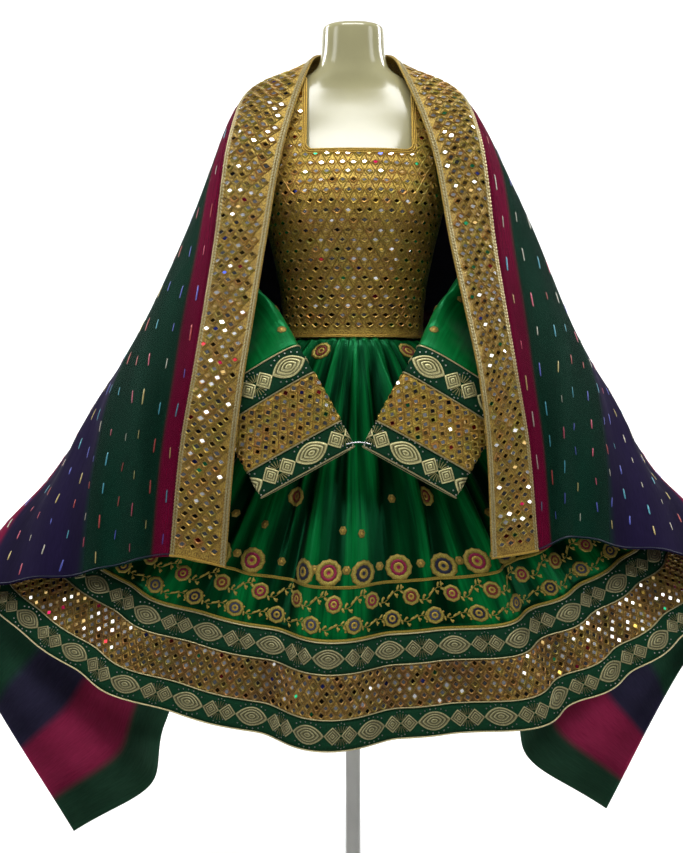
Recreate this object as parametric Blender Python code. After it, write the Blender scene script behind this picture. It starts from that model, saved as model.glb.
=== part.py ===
"""An embroidered bridal dress with its shawl, on a limbless dress form with a pole and a round foot.

Metres, +Z up. The origin is on the floor under the middle of the foot, and the front faces -Y.
Each cut piece of the garment is a wall of cloth made from a smooth surface: the outer face is
the surface, and the inner face is the same points moved in by the thickness of the cloth.
"""

import math

import bpy
from mathutils import Vector

# Driving sizes

SEAM_GAP = 0.0003
WALL = 0.0018
SHEER_WALL = 0.0012
BORDER_WALL = 0.0020

FORM_BOTTOM = 0.690
BODY_SQUARENESS = 2.3
FORM_SIDES = 28

WAIST_HEIGHT = 0.966
BODICE_EASE = 0.0050
FORM_INSET = 0.0050
SHOULDER_SEAT = 0.0028
NECKLINE_LEFT = 0.075
NECKLINE_RIGHT = 0.094
NECKLINE_FRONT = 1.270
NECKLINE_BACK = 1.350
STRAP_TOP = 1.396
UNDERARM = 1.185
SHOULDER_TIP = 1.352
ARMHOLE_NARROWING = 0.034
SIDE_SEAM_TURN = 0.002
BINDING_INSET = 0.0004
BINDING_WIDTH = 0.006
BINDING_WALL = 0.0012
BINDING_STAND = 0.0012
PIPING_WALL = 0.0014
PIPING_STAND = 0.0009
PIPING_BOTTOM = 0.0004
PIPING_TOP = 0.0052
PIPING_SIDES = 48

SKIRT_LENGTH = 0.645
SKIRT_SIDE_LONGER = 0.005
SKIRT_BULGE = 0.016
FOLD_DROP = 0.20
HEM_HALF_LEFT = 0.640
HEM_HALF_RIGHT = 0.615
HEM_FRONT = 0.248
HEM_BACK = 0.235
WAIST_HALF = 0.119
WAIST_FRONT = 0.094
WAIST_BACK = 0.089
GATHERS = 32
GATHER_DEPTH = 0.0034
LOWER_RIBBON = 0.047
MIRROR_BAND = 0.067
UPPER_RIBBON = 0.047
ROUND_SKIRT = 128

CUFF_RIBBON_UPPER = 0.050
CUFF_MIRROR_BAND = 0.084
CUFF_RIBBON_LOWER = 0.046
CUFF_CENTRE = 0.007
SLEEVE_STAND = 0.0029
ROUND_SLEEVE = 18

SHAWL_HALF_LENGTH = 1.01
SHAWL_WIDTH = 1.00
SHAWL_BORDER = 0.095
SHAWL_CELLS_LONG = 56
SHAWL_WAVES = 4.5
SHAWL_WAVE_DEPTH = 0.024

PIN_WIRE = 0.0009
PIN_FROM_HEM = 0.010
PIN_TURN = math.radians(60)
PIN_BOW = 0.0030

POLE_RADIUS = 0.0125
POLE_COLLAR = 0.032
FOOT_RADIUS = 0.185
FOOT_THICK = 0.014

# A wall's normal at a point is taken over these steps to each side, in the surface's own two
# coordinates: wide ones keep the inner faces of tight folds from crossing
BODY_STEPS = (0.01, 0.002)
SKIRT_STEPS = (0.0006, 0.002)
SLEEVE_STEPS = (0.17, 0.018)
SHAWL_STEPS = (0.018, 0.020)

# The dress form from its bottom to the top of its neck, one row for each level:
# height, half width, depth in front of the middle, depth behind it
FORM_LEVELS = (
    (0.690, 0.118, 0.076, 0.072),
    (0.700, 0.142, 0.094, 0.088),
    (0.740, 0.152, 0.102, 0.098),
    (0.800, 0.150, 0.102, 0.102),
    (0.880, 0.134, 0.094, 0.096),
    (0.970, 0.113, 0.086, 0.082),
    (1.050, 0.117, 0.093, 0.083),
    (1.120, 0.131, 0.110, 0.087),
    (1.190, 0.148, 0.126, 0.090),
    (1.250, 0.163, 0.108, 0.092),
    (1.300, 0.177, 0.086, 0.088),
    (1.345, 0.179, 0.069, 0.080),
    (1.372, 0.155, 0.060, 0.072),
    (1.398, 0.108, 0.053, 0.064),
    (1.418, 0.068, 0.049, 0.058),
    (1.440, 0.056, 0.048, 0.053),
    (1.485, 0.0525, 0.048, 0.051),
    (1.493, 0.0505, 0.046, 0.049),
    (1.497, 0.0450, 0.041, 0.044),
)

# Skirt folds round the hem, one row for each: angle of the crest from the front in degrees,
# half width in degrees, how far it stands out at the hem, and where it begins to grow, as a
# share of the way down
SKIRT_FOLDS = (
    (-64, 10, 0.005, 0.35),
    (-50, 9, 0.004, 0.28),
    (-35, 9, 0.016, 0.22),
    (-20, 8, 0.004, 0.20),
    (-3.5, 10.5, 0.045, 0.10),
    (12, 8, 0.005, 0.20),
    (24, 11, 0.041, 0.10),
    (38, 9, 0.018, 0.20),
    (52, 9, 0.009, 0.30),
    (67, 10, 0.011, 0.38),
    (112, 7, 0.012, 0.40),
    (126, 6, 0.018, 0.35),
    (140, 6, 0.022, 0.25),
    (152, 5, 0.018, 0.30),
    (163, 6, 0.026, 0.15),
    (176, 6, 0.022, 0.22),
    (-171, 5, 0.016, 0.30),
    (-160, 6, 0.026, 0.15),
    (-148, 5, 0.020, 0.25),
    (-136, 6, 0.018, 0.30),
    (-124, 6, 0.014, 0.35),
    (-111, 7, 0.010, 0.40),
)

# The left sleeve, empty and flat, one row for each section: centre x, y and z, half width,
# half depth, and the direction of its front fold
SLEEVE_SECTIONS = (
    (-0.168, -0.004, 1.268, 0.072, 0.080, (0.00, -1.00, 0.00)),
    (-0.206, -0.004, 1.216, 0.074, 0.035, (0.00, -1.00, 0.00)),
    (-0.208, -0.014, 1.155, 0.079, 0.024, (0.00, -1.00, 0.00)),
    (-0.206, -0.040, 1.055, 0.082, 0.020, (0.18, -0.98, 0.00)),
    (-0.194, -0.090, 0.982, 0.084, 0.018, (0.52, -0.84, 0.12)),
    (-0.177, -0.148, 0.934, 0.084, 0.016, (0.78, -0.50, 0.32)),
    (-0.161, -0.192, 0.896, 0.084, 0.014, (0.86, -0.14, 0.47)),
    (-0.120, -0.212, 0.824, 0.083, 0.013, (0.88, -0.05, 0.47)),
    (-0.078, -0.222, 0.748, 0.082, 0.012, (0.88, 0.00, 0.47)),
)

# The shawl's left half, one row for each section: metres along it from the middle of the back,
# then the places of the neck edge, the border's seam, and the cloth at each width of
# SHAWL_WIDTHS below
SHAWL_WIDTHS = (0.0, 0.095, 0.19, 0.28, 0.46, 0.60, 0.72, 1.00)
SHAWL_SECTIONS = (
    (0.000, (0.000, 0.082, 1.452), (0.000, 0.122, 1.368), (0.000, 0.140, 1.278),
     (0.000, 0.152, 1.188), (0.000, 0.166, 1.010), (0.000, 0.182, 0.870),
     (0.000, 0.210, 0.755), (0.000, 0.290, 0.490)),
    (0.105, (-0.0549, 0.0215, 1.455), (-0.104, 0.086, 1.391), (-0.106, 0.122, 1.300),
     (-0.106, 0.142, 1.200), (-0.106, 0.164, 1.014), (-0.106, 0.182, 0.872),
     (-0.102, 0.210, 0.752), (-0.088, 0.290, 0.484)),
    (0.200, (-0.076, -0.050, 1.412), (-0.170, 0.006, 1.393), (-0.200, 0.082, 1.315),
     (-0.196, 0.112, 1.195), (-0.197, 0.154, 1.012), (-0.196, 0.180, 0.870),
     (-0.188, 0.212, 0.745), (-0.150, 0.287, 0.475)),
    (0.350, (-0.114, -0.112, 1.275), (-0.205, -0.068, 1.296), (-0.266, 0.008, 1.190),
     (-0.297, 0.056, 1.088), (-0.331, 0.116, 0.950), (-0.334, 0.160, 0.820),
     (-0.318, 0.202, 0.700), (-0.238, 0.272, 0.436)),
    (0.510, (-0.140, -0.162, 1.112), (-0.226, -0.118, 1.115), (-0.310, -0.058, 1.050),
     (-0.371, 0.000, 0.965), (-0.436, 0.078, 0.858), (-0.452, 0.138, 0.735),
     (-0.436, 0.192, 0.610), (-0.300, 0.256, 0.396)),
    (0.630, (-0.158, -0.200, 0.985), (-0.240, -0.160, 1.000), (-0.336, -0.104, 0.940),
     (-0.404, -0.045, 0.872), (-0.492, 0.046, 0.775), (-0.520, 0.122, 0.660),
     (-0.505, 0.188, 0.540), (-0.330, 0.245, 0.345)),
    (0.720, (-0.172, -0.226, 0.888), (-0.253, -0.190, 0.905), (-0.344, -0.142, 0.855),
     (-0.416, -0.084, 0.795), (-0.526, 0.018, 0.720), (-0.574, 0.108, 0.616),
     (-0.565, 0.182, 0.490), (-0.342, 0.236, 0.270)),
    (0.845, (-0.186, -0.232, 0.765), (-0.272, -0.204, 0.785), (-0.354, -0.170, 0.745),
     (-0.426, -0.130, 0.705), (-0.576, -0.030, 0.656), (-0.655, 0.070, 0.584),
     (-0.635, 0.150, 0.440), (-0.372, 0.204, 0.168)),
    (1.010, (-0.198, -0.240, 0.602), (-0.286, -0.222, 0.618), (-0.362, -0.205, 0.604),
     (-0.432, -0.180, 0.586), (-0.612, -0.120, 0.560), (-0.678, 0.012, 0.520),
     (-0.658, 0.105, 0.380), (-0.496, 0.130, 0.100)),
)

# How the shawl's right half differs from the left one turned over, one row for each section:
# metres along; shift of the neck edge along X, Y and Z; shift of the side along X and Z; shift of
# the hanging edge along X and Z; shift of the outermost cloth along X
RIGHT_SHIFTS = (
    (0.000, 0.000, 0.000, 0.000, 0.000, 0.000, 0.000, 0.000, 0.000),
    (0.200, 0.004, 0.000, 0.000, 0.008, 0.000, 0.000, 0.000, 0.000),
    (0.350, 0.012, -0.004, 0.000, 0.027, 0.000, 0.000, 0.000, 0.000),
    (0.510, 0.013, -0.008, 0.000, 0.014, 0.000, -0.018, 0.018, -0.012),
    (0.720, 0.022, -0.012, 0.000, -0.008, 0.020, -0.045, 0.050, -0.035),
    (1.010, 0.012, -0.018, 0.015, -0.024, 0.046, -0.044, 0.040, -0.072),
)


def clear_scene():
    for item in list(bpy.data.objects):
        bpy.data.objects.remove(item, do_unlink=True)


def ease(x):
    """0 up to x = 0, 1 from x = 1, and smooth between."""
    x = min(1.0, max(0.0, x))
    return x * x * (3.0 - 2.0 * x)


def smooth_through(places, values, place):
    """A smooth curve through values, numbers or vectors, that stand at rising places."""
    last = len(places) - 1
    place = min(places[last], max(places[0], place))
    k = 0
    while k < last - 1 and place > places[k + 1]:
        k += 1

    def slope(i):
        before, after = max(0, i - 1), min(last, i + 1)
        return (values[after] - values[before]) * (1.0 / (places[after] - places[before]))

    step = places[k + 1] - places[k]
    t = (place - places[k]) / step
    return (
        values[k] * (2 * t**3 - 3 * t**2 + 1)
        + slope(k) * (step * (t**3 - 2 * t**2 + t))
        + values[k + 1] * (3 * t**2 - 2 * t**3)
        + slope(k + 1) * (step * (t**3 - t**2))
    )


def facing(surface, a, b, step_a, step_b):
    """The unit normal of a surface at (a, b)."""
    along_a = surface(a + step_a, b) - surface(a - step_a, b)
    along_b = surface(a, b + step_b) - surface(a, b - step_b)
    return along_a.cross(along_b).normalized()


def material(name, colour, roughness, metallic=0.0):
    made = bpy.data.materials.new(name)
    made.use_nodes = True
    shader = made.node_tree.nodes["Principled BSDF"]
    shader.inputs["Base Color"].default_value = (*colour, 1.0)
    shader.inputs["Roughness"].default_value = roughness
    shader.inputs["Metallic"].default_value = metallic
    return made


def mesh_object(name, points, faces, finish, smooth=True):
    mesh = bpy.data.meshes.new(name)
    mesh.from_pydata([tuple(p) for p in points], [], faces)
    mesh.materials.append(finish)
    if smooth:
        mesh.shade_smooth()
        mesh.set_sharp_from_angle(angle=math.radians(50))
    mesh.update()
    item = bpy.data.objects.new(name, mesh)
    bpy.context.scene.collection.objects.link(item)
    return item


def wall(name, surface, rows, wall_thick, finish, closed=False, lift=0.0, turn=1.0,
         steps=(1e-3, 1e-3), holes=None):
    """A closed wall of cloth on surface(a, b).

    rows is a list of rows of (a, b); all rows have the same length, and a row closes on itself
    where closed is set. lift moves the wall out from the surface, and turn is -1 where the
    surface's own normal, taken over steps to each side, faces in. holes(row, column) is true for
    a cell that is left open.
    """
    wide = len(rows[0])
    points = [surface(a, b) for row in rows for a, b in row]
    normals = [facing(surface, a, b, *steps) for row in rows for a, b in row]
    half = len(points)
    points = [point + out * (turn * lift) for point, out in zip(points, normals)]
    points += [point - out * (turn * wall_thick) for point, out in zip(points, normals)]
    first_face = (points[1] - points[0]).cross(points[wide] - points[0])
    backward = first_face.dot(points[0] - points[half]) < 0
    faces = []
    edges = {}
    columns = wide if closed else wide - 1
    for j in range(len(rows) - 1):
        for i in range(columns):
            if holes and holes(j, i):
                continue
            near, far = j * wide, (j + 1) * wide
            after = (i + 1) % wide
            quad = [near + after, far + after, far + i, near + i]
            if backward:
                quad = [quad[0], quad[3], quad[2], quad[1]]
            for tri in (quad[:3], [quad[0], quad[2], quad[3]]):
                faces.append(tri)
                faces.append([half + corner for corner in reversed(tri)])
            for k in range(4):
                edge = (quad[k], quad[(k + 1) % 4])
                if (edge[1], edge[0]) in edges:
                    del edges[(edge[1], edge[0])]
                else:
                    edges[edge] = True
    for start, end in edges:
        if (start % wide + 1) % wide == end % wide:
            faces.append([end, start, half + end])
            faces.append([start, half + start, half + end])
        else:
            faces.append([end, start, half + start])
            faces.append([end, half + start, half + end])
    used = sorted({corner for face in faces for corner in face})
    place = {old: new for new, old in enumerate(used)}
    faces = [[place[corner] for corner in face] for face in faces]
    return mesh_object(name, [points[old] for old in used], faces, finish)


def spread(first, last, cells):
    """cells + 1 even places from first to last."""
    return [first + (last - first) * k / cells for k in range(cells + 1)]


def ring_faces(rings, sides):
    """Faces of a tube of rings, with a cap at each end."""
    faces = []
    for j in range(rings - 1):
        for k in range(sides):
            after = (k + 1) % sides
            faces.append([j * sides + k, j * sides + after,
                          (j + 1) * sides + after, (j + 1) * sides + k])
    faces.append(list(reversed(range(sides))))
    faces.append([(rings - 1) * sides + k for k in range(sides)])
    return faces


def turned(name, profile, sides, finish):
    """A solid of revolution about Z; profile runs bottom to top as (radius, height)."""
    points = []
    for radius, height in profile:
        for k in range(sides):
            turn = 2 * math.pi * k / sides
            points.append(Vector((radius * math.cos(turn), radius * math.sin(turn), height)))
    return mesh_object(name, points, ring_faces(len(profile), sides), finish)


# Dress form


def level(height):
    """Half width, front depth and back depth of the form at a height."""
    heights = [row[0] for row in FORM_LEVELS]
    return [smooth_through(heights, [row[k] for row in FORM_LEVELS], height) for k in (1, 2, 3)]


def body(turn, height):
    """A point of the form's skin. turn is 0 in front and a quarter turn on the +X side."""
    half, front, back = level(height)
    across, ahead = math.sin(turn), math.cos(turn)
    power = 2.0 / BODY_SQUARENESS
    x = half * math.copysign(abs(across) ** power, across)
    y = (-front if ahead > 0 else back) * abs(ahead) ** power
    return Vector((x, y, height))


def turn_at(x, height, behind=False):
    """The turn at which the form's skin is x to the side at a height."""
    half = level(height)[0]
    turn = math.asin(min(1.0, (abs(x) / half) ** (BODY_SQUARENESS / 2.0)))
    if behind:
        turn = math.pi - turn
    return turn


def make_form(finish):
    """The limbless form, a little inside the skin that the bodice is cut to.

    Its shoulders come out to the bodice, which rests on them.
    """
    heights = [row[0] for row in FORM_LEVELS]
    points = []
    for height in heights:
        inset = FORM_INSET * ease((STRAP_TOP + 0.02 - height) / 0.03)
        for k in range(FORM_SIDES):
            skin = body(2 * math.pi * k / FORM_SIDES, height)
            outward = Vector((skin.x, skin.y, 0.0)).normalized()
            seat = SHOULDER_SEAT * ease((abs(skin.x) - 0.12) / 0.03) * ease((height - 1.31) / 0.03)
            points.append(skin - outward * (inset - seat))
    return mesh_object("form_body", points, ring_faces(len(heights), FORM_SIDES), finish)


def make_stand(finish):
    top = FORM_BOTTOM - SEAM_GAP
    foot_top = FOOT_THICK
    turned("stand_pole", (
        (POLE_COLLAR, foot_top + SEAM_GAP),
        (POLE_COLLAR, foot_top + 0.006),
        (POLE_RADIUS + 0.004, foot_top + 0.022),
        (POLE_RADIUS, foot_top + 0.030),
        (POLE_RADIUS, top - 0.030),
        (POLE_COLLAR, top - 0.008),
        (POLE_COLLAR, top),
    ), 16, finish)
    turned("stand_base", (
        (FOOT_RADIUS - 0.003, 0.0),
        (FOOT_RADIUS, 0.003),
        (FOOT_RADIUS, FOOT_THICK - 0.004),
        (FOOT_RADIUS - 0.004, FOOT_THICK),
    ), 40, finish)


# Bodice


def armhole_turn(height, behind):
    """Turn of the outer edge of a bodice panel: side seam, armhole, then shoulder seam."""
    if UNDERARM < height < SHOULDER_TIP:
        share = (height - UNDERARM) / (SHOULDER_TIP - UNDERARM)
        inward = ARMHOLE_NARROWING * math.sin(math.pi * share)
        return turn_at(level(height)[0] - inward, height, behind)
    return math.pi / 2


def bodice_rows(behind):
    """Rows of one panel from waist to shoulder, and the row where the neck opening starts."""
    neckline = NECKLINE_BACK if behind else NECKLINE_FRONT
    heights = spread(WAIST_HEIGHT, UNDERARM, 6)[:-1]
    if behind:
        heights += [UNDERARM, 1.200, 1.222, 1.26, 1.305, neckline, 1.372, STRAP_TOP]
    else:
        heights += [UNDERARM, 1.200, 1.222, 1.245, neckline, 1.305, 1.335]
        heights += [SHOULDER_TIP, 1.374, STRAP_TOP]
    rows = []
    for height in heights:
        outer = armhole_turn(height, behind)
        whole = 2 * math.pi if behind else 0.0
        right = turn_at(NECKLINE_RIGHT, height, behind)
        left = whole - turn_at(NECKLINE_LEFT, height, behind)
        turns = spread(outer, right, 4)[:-1] + spread(right, left, 6)
        turns += spread(left, whole - outer, 4)[1:]
        inward = math.copysign(SIDE_SEAM_TURN, left - right)
        turns[0] += inward
        turns[-1] -= inward
        rows.append([(turn, height) for turn in turns])
    return rows, heights.index(neckline)


def make_bodice(finish, binding):
    for name, behind in (("bodice_front", False), ("bodice_back", True)):
        rows, open_row = bodice_rows(behind)
        wall(name, body, rows, WALL, finish, lift=BODICE_EASE + WALL, steps=BODY_STEPS,
             holes=lambda j, i: j >= open_row and 4 <= i < 10)
    make_binding(binding)


def neck_path(behind, inset):
    """The neckline of one panel from shoulder to shoulder, inset moved into the cloth."""
    bottom = (NECKLINE_BACK if behind else NECKLINE_FRONT) - inset
    whole = 2 * math.pi if behind else 0.0
    heights = spread(STRAP_TOP, bottom, 5)
    right = [(turn_at(NECKLINE_RIGHT + inset, height, behind), height) for height in heights]
    left = [(whole - turn_at(NECKLINE_LEFT + inset, height, behind), height)
            for height in reversed(heights)]
    across = spread(right[-1][0], left[0][0], 6)[1:-1]
    return right + [(turn, bottom) for turn in across] + left


def make_binding(finish):
    """The narrow gold binding round the square neckline, a strip on each panel."""
    lift = BODICE_EASE + WALL + BINDING_STAND + BINDING_WALL
    for name, behind in (("neck_binding_front", False), ("neck_binding_back", True)):
        rows = [neck_path(behind, BINDING_INSET), neck_path(behind, BINDING_WIDTH)]
        wall(name, body, rows, BINDING_WALL, finish, lift=lift, steps=BODY_STEPS)


# Skirt


def hem_point(turn):
    """The hem between folds, seen from above."""
    half = HEM_HALF_RIGHT if math.sin(turn) > 0 else HEM_HALF_LEFT
    depth = HEM_FRONT if math.cos(turn) > 0 else HEM_BACK
    return Vector((half * math.sin(turn), -depth * math.cos(turn), 0.0))


def even_turns(count):
    """Turns of count points that stand evenly along the hem."""
    fine = 1440
    lengths = [0.0]
    for k in range(fine):
        step = hem_point(2 * math.pi * (k + 1) / fine) - hem_point(2 * math.pi * k / fine)
        lengths.append(lengths[-1] + step.length)
    turns = []
    k = 0
    for i in range(count):
        wanted = lengths[-1] * i / count
        while lengths[k + 1] < wanted:
            k += 1
        share = (wanted - lengths[k]) / (lengths[k + 1] - lengths[k])
        turns.append(2 * math.pi * (k + share) / fine)
    return turns


HEM_TURNS = even_turns(720)


def turn_of(q):
    """Turn at the share q of the way round the hem."""
    q = (q % 1.0) * len(HEM_TURNS)
    k = int(q) % len(HEM_TURNS)
    after = HEM_TURNS[k + 1] if k + 1 < len(HEM_TURNS) else 2 * math.pi
    return HEM_TURNS[k] + (after - HEM_TURNS[k]) * (q - int(q))


def skirt_length(turn):
    """Cloth from the waist to the hem between two folds, a little longer at the sides."""
    return SKIRT_LENGTH + SKIRT_SIDE_LONGER * math.sin(turn) ** 2


def fold_height(turn, share):
    """How far the folds stand out at a turn, share of the way down the skirt."""
    degrees = math.degrees(turn)
    total = 0.0
    for crest, half, depth, start in SKIRT_FOLDS:
        away = (degrees - crest + 180.0) % 360.0 - 180.0
        if abs(away) < half:
            grown = ease((share - start) / (1.0 - start)) * (1 - 0.35 * start) + 0.10 * share
            total += depth * 0.5 * (1 + math.cos(math.pi * away / half)) * grown
    return total


def gather_height(q, down):
    """The small gathers under the waist, which run together in pairs further down."""
    fine = 0.5 + 0.5 * math.cos(2 * math.pi * GATHERS * q)
    uneven = 0.75 + 0.25 * math.sin(2 * math.pi * 5 * q + 1.0)
    first = fine * GATHER_DEPTH * (1.0 + 1.2 * ease(down / 0.04)) * (1 - ease(down / 0.17))
    pairs = 0.5 + 0.5 * math.cos(math.pi * GATHERS * q + 0.8 * math.sin(6 * math.pi * q))
    second = pairs * 0.009 * ease(down / 0.10) * (1 - ease((down - 0.12) / 0.33))
    return first * uneven + second * uneven


def skirt(q, down):
    """A point of the skirt's outer face, q of the way round and down metres below the waist."""
    turn = turn_of(q)
    across, ahead = math.sin(turn), math.cos(turn)
    front = WAIST_FRONT if ahead > 0 else WAIST_BACK
    waist = Vector((WAIST_HALF * across, -front * ahead, 0.0))
    out = hem_point(turn) - waist
    length = skirt_length(turn)
    share = down / length
    slope = out.length / length
    reach = slope * down
    bulge = SKIRT_BULGE * math.sin(math.pi * min(1.0, max(0.0, share))) ** 1.2
    fall = math.sqrt(max(1e-9, 1 - slope * slope)) * down
    fold = fold_height(turn, share)
    stands = fold + gather_height(q, down) + bulge
    place = waist + out.normalized() * (reach + stands)
    place.z += WAIST_HEIGHT - 2 * SEAM_GAP - fall - fold * FOLD_DROP
    return place


def make_skirt(satin, velvet, mirror_work):
    rounds = [k / ROUND_SKIRT for k in range(ROUND_SKIRT)]
    trims = LOWER_RIBBON + MIRROR_BAND + UPPER_RIBBON
    satin_stops = (0.0, 0.022, 0.052, 0.092, 0.145, 0.22, 0.31, 0.40)

    def from_hem(above):
        return [(q, skirt_length(turn_of(q)) - above) for q in rounds]

    satin_rows = [[(q, down) for q in rounds] for down in satin_stops]
    satin_rows.append(from_hem(trims + SEAM_GAP))
    wall("skirt_satin", skirt, satin_rows, WALL, satin, closed=True, turn=-1.0,
         steps=SKIRT_STEPS)
    top = trims
    for name, width, finish in (
        ("skirt_ribbon_upper", UPPER_RIBBON, velvet),
        ("skirt_mirror_band", MIRROR_BAND, mirror_work),
        ("skirt_ribbon_lower", LOWER_RIBBON, velvet),
    ):
        bottom = top - width
        rows = [from_hem(top), from_hem(bottom + SEAM_GAP)]
        wall(name, skirt, rows, WALL, finish, closed=True, turn=-1.0, steps=SKIRT_STEPS)
        top = bottom


def make_waist_piping(finish):
    """Gold piping on the waist seam, over the foot of the bodice."""
    turns = [2 * math.pi * k / PIPING_SIDES for k in range(PIPING_SIDES)]
    rows = []
    for height in (WAIST_HEIGHT + PIPING_BOTTOM, WAIST_HEIGHT + PIPING_TOP):
        rows.append([(turn, height) for turn in turns])
    lift = BODICE_EASE + WALL + PIPING_STAND + PIPING_WALL
    wall("waist_piping", body, rows, PIPING_WALL, finish, closed=True, lift=lift,
         steps=BODY_STEPS)


# Sleeves


def armhole(turn):
    """The armhole edge on the left side: turn is 0 at the shoulder and then goes forward."""
    middle = (UNDERARM + SHOULDER_TIP) / 2
    reach = (SHOULDER_TIP - UNDERARM) / 2
    height = middle + reach * math.cos(turn)
    behind = math.sin(turn) < 0
    side = -armhole_turn(height, behind)
    skin = body(side, height)
    out = facing(body, side, height, *BODY_STEPS)
    if out.x > 0:
        out = -out
    return skin + out * (BODICE_EASE + WALL + SLEEVE_STAND)


SLEEVE_CENTRES = [Vector(row[0:3]) for row in SLEEVE_SECTIONS]
SLEEVE_ALONG = [0.0]
for before, after in zip(SLEEVE_CENTRES, SLEEVE_CENTRES[1:]):
    SLEEVE_ALONG.append(SLEEVE_ALONG[-1] + (after - before).length)
SLEEVE_LENGTH = SLEEVE_ALONG[-1]


def cuff_shift(along):
    """The cuffs meet a little to the right of the middle."""
    return CUFF_CENTRE * ease((along - 0.25) / 0.2)


def sleeve(turn, along):
    """A point of the left sleeve's outer face, along metres from the armhole."""
    centre = smooth_through(SLEEVE_ALONG, SLEEVE_CENTRES, along)
    ahead = smooth_through(SLEEVE_ALONG, SLEEVE_CENTRES, along + 0.004)
    behind = smooth_through(SLEEVE_ALONG, SLEEVE_CENTRES, along - 0.004)
    run = (ahead - behind).normalized()
    wide = smooth_through(SLEEVE_ALONG, [row[3] for row in SLEEVE_SECTIONS], along)
    deep = smooth_through(SLEEVE_ALONG, [row[4] for row in SLEEVE_SECTIONS], along)
    front = smooth_through(SLEEVE_ALONG, [Vector(row[5]) for row in SLEEVE_SECTIONS], along)
    front = (front - run * front.dot(run)).normalized()
    outward = run.cross(front)
    across, up = math.sin(turn), math.cos(turn)
    square = 0.8
    tube = (centre
            + front * (wide * math.copysign(abs(across) ** square, across))
            + outward * (deep * math.copysign(abs(up) ** square, up)))
    creases = 0.0025 * math.sin(along * 46.0 + 1.4 * math.sin(turn)) * ease((along - 0.05) / 0.1)
    tube += outward * (creases * up * (1 - ease((along - SLEEVE_LENGTH + 0.22) / 0.05)))
    joined = ease(along / 0.065)
    if joined < 1.0:
        tube = armhole(turn) * (1 - joined) + tube * joined
    tube.x += cuff_shift(along)
    return tube


def right_sleeve(turn, along):
    """The left sleeve turned over."""
    place = sleeve(turn, along)
    place.x = 2 * cuff_shift(along) - place.x
    return place


def make_sleeves(satin, velvet, mirror_work):
    turns = [2 * math.pi * (k + 0.5) / ROUND_SLEEVE for k in range(ROUND_SLEEVE)]
    cuff = CUFF_RIBBON_UPPER + CUFF_MIRROR_BAND + CUFF_RIBBON_LOWER
    stops = [0.0, 0.035, 0.070, 0.11, 0.16, 0.22, 0.28, 0.34, 0.40]
    for side, surface, turn_sign in (("left", sleeve, -1.0), ("right", right_sleeve, 1.0)):
        pieces = (
            ("sleeve_" + side, stops + [SLEEVE_LENGTH - cuff - SEAM_GAP], satin),
            ("cuff_ribbon_upper_" + side,
             [SLEEVE_LENGTH - cuff,
              SLEEVE_LENGTH - cuff + CUFF_RIBBON_UPPER - SEAM_GAP], velvet),
            ("cuff_mirror_band_" + side,
             [SLEEVE_LENGTH - CUFF_RIBBON_LOWER - CUFF_MIRROR_BAND,
              SLEEVE_LENGTH - CUFF_RIBBON_LOWER - SEAM_GAP], mirror_work),
            ("cuff_ribbon_lower_" + side,
             [SLEEVE_LENGTH - CUFF_RIBBON_LOWER, SLEEVE_LENGTH - 0.001], velvet),
        )
        for name, places, finish in pieces:
            rows = [[(turn, along) for turn in turns] for along in places]
            wall(name, surface, rows, WALL, finish, closed=True, turn=turn_sign,
                 steps=SLEEVE_STEPS)


def make_cuff_pin(finish):
    """The bent wire pin that holds the two cuffs together in front."""
    sides = 6
    cells = 8
    along = SLEEVE_LENGTH - PIN_FROM_HEM
    left_end = sleeve(PIN_TURN, along)
    right_end = right_sleeve(PIN_TURN, along)
    points = []
    for j in range(cells + 1):
        share = j / cells
        place = left_end.lerp(right_end, share)
        place.y -= PIN_WIRE + SEAM_GAP
        place.z += PIN_BOW * math.sin(math.pi * share)
        for k in range(sides):
            turn = 2 * math.pi * k / sides
            points.append(place + Vector((0.0, math.cos(turn), math.sin(turn))) * PIN_WIRE)
    return mesh_object("cuff_pin", points, ring_faces(cells + 1, sides), finish)


# Shawl


def shawl_section(along):
    """The places of SHAWL_WIDTHS at a distance from the middle of the back, left negative."""
    places = [row[0] for row in SHAWL_SECTIONS]
    away = abs(along)
    points = []
    for column in range(1, len(SHAWL_WIDTHS) + 1):
        values = [Vector(row[column]) for row in SHAWL_SECTIONS]
        mirrored = [Vector((-v.x, v.y, v.z)) for v in values[:0:-1]]
        both = mirrored + values
        stations = [-p for p in places[:0:-1]] + places
        points.append(smooth_through(stations, both, away))
    if along > 0:
        shifts = [smooth_through([row[0] for row in RIGHT_SHIFTS],
                                 [row[k] for row in RIGHT_SHIFTS], away) for k in range(1, 9)]
        for k, width in enumerate(SHAWL_WIDTHS):
            edge = 1 - ease(width / 0.13)
            side = ease((width - 0.06) / 0.16) * (1 - ease((width - 0.40) / 0.25))
            hang = ease((width - 0.60) / 0.40)
            wing = ease((width - 0.50) / 0.22) * (1 - ease((width - 0.74) / 0.26))
            point = points[k]
            x = -point.x + edge * shifts[0] + side * shifts[3] + hang * shifts[5]
            x += wing * shifts[7]
            z = point.z + edge * shifts[2] + side * shifts[4] + hang * shifts[6]
            points[k] = Vector((x, point.y + edge * shifts[1], z))
    return points


def shawl_smooth(along, width):
    """The shawl before its small folds; along is negative on the left."""
    return smooth_through(SHAWL_WIDTHS, shawl_section(along), width)


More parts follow.
